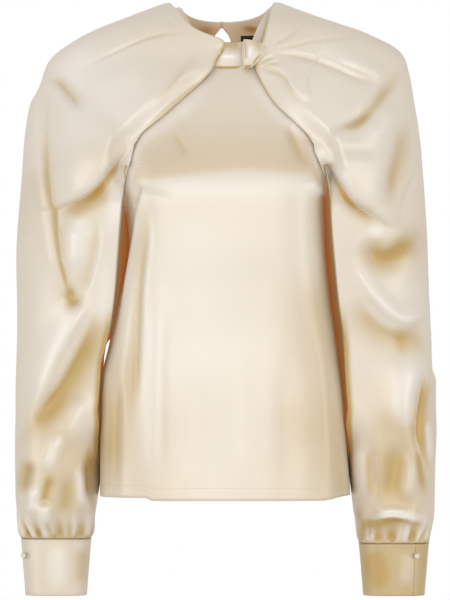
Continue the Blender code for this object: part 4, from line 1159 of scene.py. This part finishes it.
def buildLoop(name, place, outward):
    wide, high, radius = (fastening[part] for part in ("loopWidth", "loopHeight", "threadRadius"))
    angle = np.linspace(0, 2 * math.pi, 72, endpoint=False)[:, None]
    turn = np.linspace(0, 2 * math.pi, 12, endpoint=False)[None, :]
    out = np.stack([high * np.cos(angle), wide * np.sin(angle)], -1)
    out /= np.linalg.norm(out, axis=-1, keepdims=True)
    x = wide * np.cos(angle) + radius * out[..., 0] * np.cos(turn)
    y = high * np.sin(angle) + radius * out[..., 1] * np.cos(turn)
    points = np.stack([x, y, radius * np.sin(turn) + 0 * angle], 2)
    points = np.concatenate([points, points[:1]], 0)
    item = clothMesh(name, points, closed=True, flip=True)
    item.data.transform(facing(place + outward * (fastening["proud"] + radius), outward))
    item.data.materials.append(thread)
    return item


def fasten(button, loop, nodeEnd, place, outward):
    stands(buildButton(button, place, outward), "button_" + nodeEnd)
    stands(buildLoop(loop, place, outward), "loop_" + nodeEnd)


cuffs = {}
for side in sides:
    cuffs[side] = buildCuff(side)
    thicken(cuffs[side], outerSatin, innerSatin, cuffCloth["thickness"])
    stands(cuffs[side], "cuff_" + side)
    angle = np.array(math.radians(cuffCloth["buttonAngle"][side]))
    place = Vector(cuffPoint(side, angle, cuffCloth["buttonHeight"]))
    beside = Vector(cuffPoint(side, angle + 0.01, cuffCloth["buttonHeight"]))
    outward = Vector(((beside - place).y, -(beside - place).x, 0)).normalized()
    if outward.x * sides[side] < 0:
        outward.negate()
    fasten("cuff_button_" + side, "cuff_loop_" + side, "cuff_" + side, place, outward)
fasten("neck_button", "neck_loop", "neck", Vector((keyholeMiddle, neckBack, 10.5)), Vector((0, 1, 0)))
print("cuffs and buttons on")


# stitching: one short thread after another along each sewn line

stitchLook = {
    "length": 2.2,
    "gap": 0.9,
    "radius": 0.22,
    "wander": 0.12,
    "hemHeight": 12,
    "cuffInset": 3.5,
    "cuffStart": 0.05,     # angle from the slit
    "seed": 3,
    "proud": 0.1,
}


def stitchTree():
    tree = bpy.data.node_groups.new("stitch run", "GeometryNodeTree")
    tree.interface.new_socket("Geometry", in_out="INPUT", socket_type="NodeSocketGeometry")
    for name in ("Stitch length", "Gap", "Radius", "Wander"):
        socket = tree.interface.new_socket(name, in_out="INPUT", socket_type="NodeSocketFloat")
        socket.default_value = 0.001
    seed = tree.interface.new_socket("Seed", in_out="INPUT", socket_type="NodeSocketInt")
    seed.default_value = stitchLook["seed"]
    tree.interface.new_socket("Thread", in_out="INPUT", socket_type="NodeSocketMaterial")
    tree.interface.new_socket("Geometry", in_out="OUTPUT", socket_type="NodeSocketGeometry")
    given = addNode(tree, "NodeGroupInput").outputs
    line = addNode(tree, "GeometryNodeMeshToCurve", {"Mesh": given["Geometry"]})
    pitch = addNode(tree, "ShaderNodeMath", {0: given["Stitch length"], 1: given["Gap"]})
    places = addNode(tree, "GeometryNodeCurveToPoints", {
        "Curve": line.outputs["Curve"], "Length": pitch.outputs["Value"]}, mode="LENGTH")
    opposite = addNode(tree, "ShaderNodeMath", {0: given["Wander"], 1: -1}, operation="MULTIPLY")
    shift = addNode(tree, "FunctionNodeRandomValue", {
        "Min": opposite.outputs["Value"], "Max": given["Wander"], "Seed": given["Seed"]},
        data_type="FLOAT_VECTOR")
    moved = addNode(tree, "GeometryNodeSetPosition", {
        "Geometry": places.outputs["Points"], "Offset": shift.outputs["Value"]})
    stitch = addNode(tree, "GeometryNodeMeshCylinder", {
        "Vertices": 6, "Radius": given["Radius"], "Depth": given["Stitch length"]})
    turn = addNode(tree, "FunctionNodeAlignRotationToVector", {
        "Vector": places.outputs["Tangent"]}, axis="Z")
    laid = addNode(tree, "GeometryNodeInstanceOnPoints", {
        "Points": moved.outputs["Geometry"], "Instance": stitch.outputs["Mesh"],
        "Rotation": turn.outputs["Rotation"]})
    real = addNode(tree, "GeometryNodeRealizeInstances", {"Geometry": laid.outputs["Instances"]})
    dyed = addNode(tree, "GeometryNodeSetMaterial", {
        "Geometry": real.outputs["Geometry"], "Material": given["Thread"]})
    addNode(tree, "NodeGroupOutput", {"Geometry": dyed.outputs["Geometry"]})
    return tree


stitchRun = stitchTree()


def sewLines(name, lines):
    corners, edges = [], []
    for line in lines:
        first = len(corners)
        corners += [tuple(point * mm) for point in line]
        edges += [(first + k, first + k + 1) for k in range(len(line) - 1)]
    mesh = bpy.data.meshes.new(name)
    mesh.from_pydata(corners, edges, [])
    path = bpy.data.objects.new(name + "_path", mesh)
    bpy.context.scene.collection.objects.link(path)
    sewing = path.modifiers.new("sewing", "NODES")
    sewing.node_group = stitchRun
    values = {"Stitch length": stitchLook["length"] * mm, "Gap": stitchLook["gap"] * mm,
              "Radius": stitchLook["radius"] * mm, "Wander": stitchLook["wander"] * mm,
              "Seed": stitchLook["seed"], "Thread": thread}
    for item in stitchRun.interface.items_tree:
        if item.in_out == "INPUT" and item.name in values:
            sewing[item.identifier] = values[item.name]
    path.update_tag()
    graph = bpy.context.evaluated_depsgraph_get()
    run = bpy.data.meshes.new_from_object(path.evaluated_get(graph), depsgraph=graph)
    run.name = name
    bpy.data.objects.remove(path)
    stitching = bpy.data.objects.new(name, run)
    bpy.context.scene.collection.objects.link(stitching)
    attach(stitching, "root")
    return stitching


def hemLine(isFront):
    points = bodyPanel(isFront)[0]
    row = int(np.searchsorted(bodyCloth["rows"], hem + stitchLook["hemHeight"]))
    line = points[row, 2:-2]
    away = line * np.array([1.0, 1.0, 0.0])
    away /= np.linalg.norm(away, axis=1, keepdims=True)
    return line + away * (bodyCloth["thickness"] / 2 + stitchLook["proud"])


def cuffLine(side, z):
    angle = cuffAngles(side, stitchLook["cuffStart"])
    line = cuffPoint(side, angle, np.full(angle.shape, float(z)))
    return line + cuffOutward(side, line) * (cuffCloth["thickness"] / 2 + stitchLook["proud"])


hemStitches = sewLines("hem_stitches", [hemLine(True), hemLine(False)])
cuffStitches = {side: sewLines("cuff_stitches_" + side, [
    cuffLine(side, cuffCloth["top"][side] - stitchLook["cuffInset"]),
    cuffLine(side, cuffCloth["bottom"] + stitchLook["cuffInset"])]) for side in sides}
print("stitched")


print("cut sizes not given")


# stage, light and camera

studio = {
    "middle": (0, 0, -0.35), "floorSize": 16, "floorHeight": -1.6,
    "worldSeen": 1.0, "worldLight": 0.70, "worldColour": (1.0, 0.96, 0.9),
    "lamps": {      # place, power, width and height, colour
        "front_softbox": ((0.0, -4.0, 0.1), 22, (2.4, 1.8), (1, 1, 1)),
        "left_softbox": ((-2.6, -2.4, -0.1), 12.5, (1.2, 2.0), (0.98, 0.98, 1.0)),
        "right_softbox": ((2.6, -2.4, -0.1), 9.5, (1.2, 2.0), (1.0, 0.96, 0.9)),
    },
    "cameraDistance": 5.5, "cameraHeight": -0.3375, "viewHeight": 0.75,
}


def buildFloor():
    bpy.ops.mesh.primitive_plane_add(size=studio["floorSize"], location=(0, 0, studio["floorHeight"]))
    floor = bpy.context.object
    floor.name = "floor"
    material, tree = newMaterial("pale floor")
    fillNode(tree, tree.nodes["Principled BSDF"], {"Base Color": (0.9, 0.9, 0.9, 1), "Roughness": 0.8})
    floor.data.materials.append(material)


# white where the camera sees it, softer and warmer where it lights the cloth
def buildWorld():
    world = bpy.data.worlds.new("studio")
    bpy.context.scene.world = world
    world.use_nodes = True
    tree = world.node_tree
    tree.nodes.clear()
    path = addNode(tree, "ShaderNodeLightPath")
    lit = addNode(tree, "ShaderNodeBackground", {
        "Strength": studio["worldLight"], "Color": (*studio["worldColour"], 1)})
    seen = addNode(tree, "ShaderNodeBackground", {
        "Strength": studio["worldSeen"], "Color": (1, 1, 1, 1)})
    choose = addNode(tree, "ShaderNodeMixShader", {
        0: path.outputs["Is Camera Ray"], 1: lit.outputs[0], 2: seen.outputs[0]})
    addNode(tree, "ShaderNodeOutputWorld", {0: choose.outputs[0]})


def softbox(name, place, power, size, colour):
    lamp = bpy.data.lights.new(name, "AREA")
    lamp.shape = "RECTANGLE"
    lamp.size, lamp.size_y = size
    lamp.energy = power
    lamp.color = colour
    item = bpy.data.objects.new(name, lamp)
    bpy.context.scene.collection.objects.link(item)
    item.location = place
    toMiddle = Vector(studio["middle"]) - Vector(place)
    item.rotation_euler = toMiddle.to_track_quat("-Z", "Y").to_euler()


def placeCamera():
    camera = bpy.data.cameras.new("camera")
    camera.sensor_fit = "VERTICAL"
    camera.sensor_height = 24
    camera.lens = 24 * studio["cameraDistance"] / studio["viewHeight"]
    eye = bpy.data.objects.new("camera", camera)
    bpy.context.scene.collection.objects.link(eye)
    eye.location = (0, -studio["cameraDistance"], studio["cameraHeight"])
    eye.rotation_euler = (math.pi / 2, 0, 0)
    bpy.context.scene.camera = eye


buildFloor()
buildWorld()
for name, (place, power, size, colour) in studio["lamps"].items():
    softbox(name, place, power, size, colour)
placeCamera()
bpy.context.scene.view_settings.view_transform = "Standard"
print("studio lit")
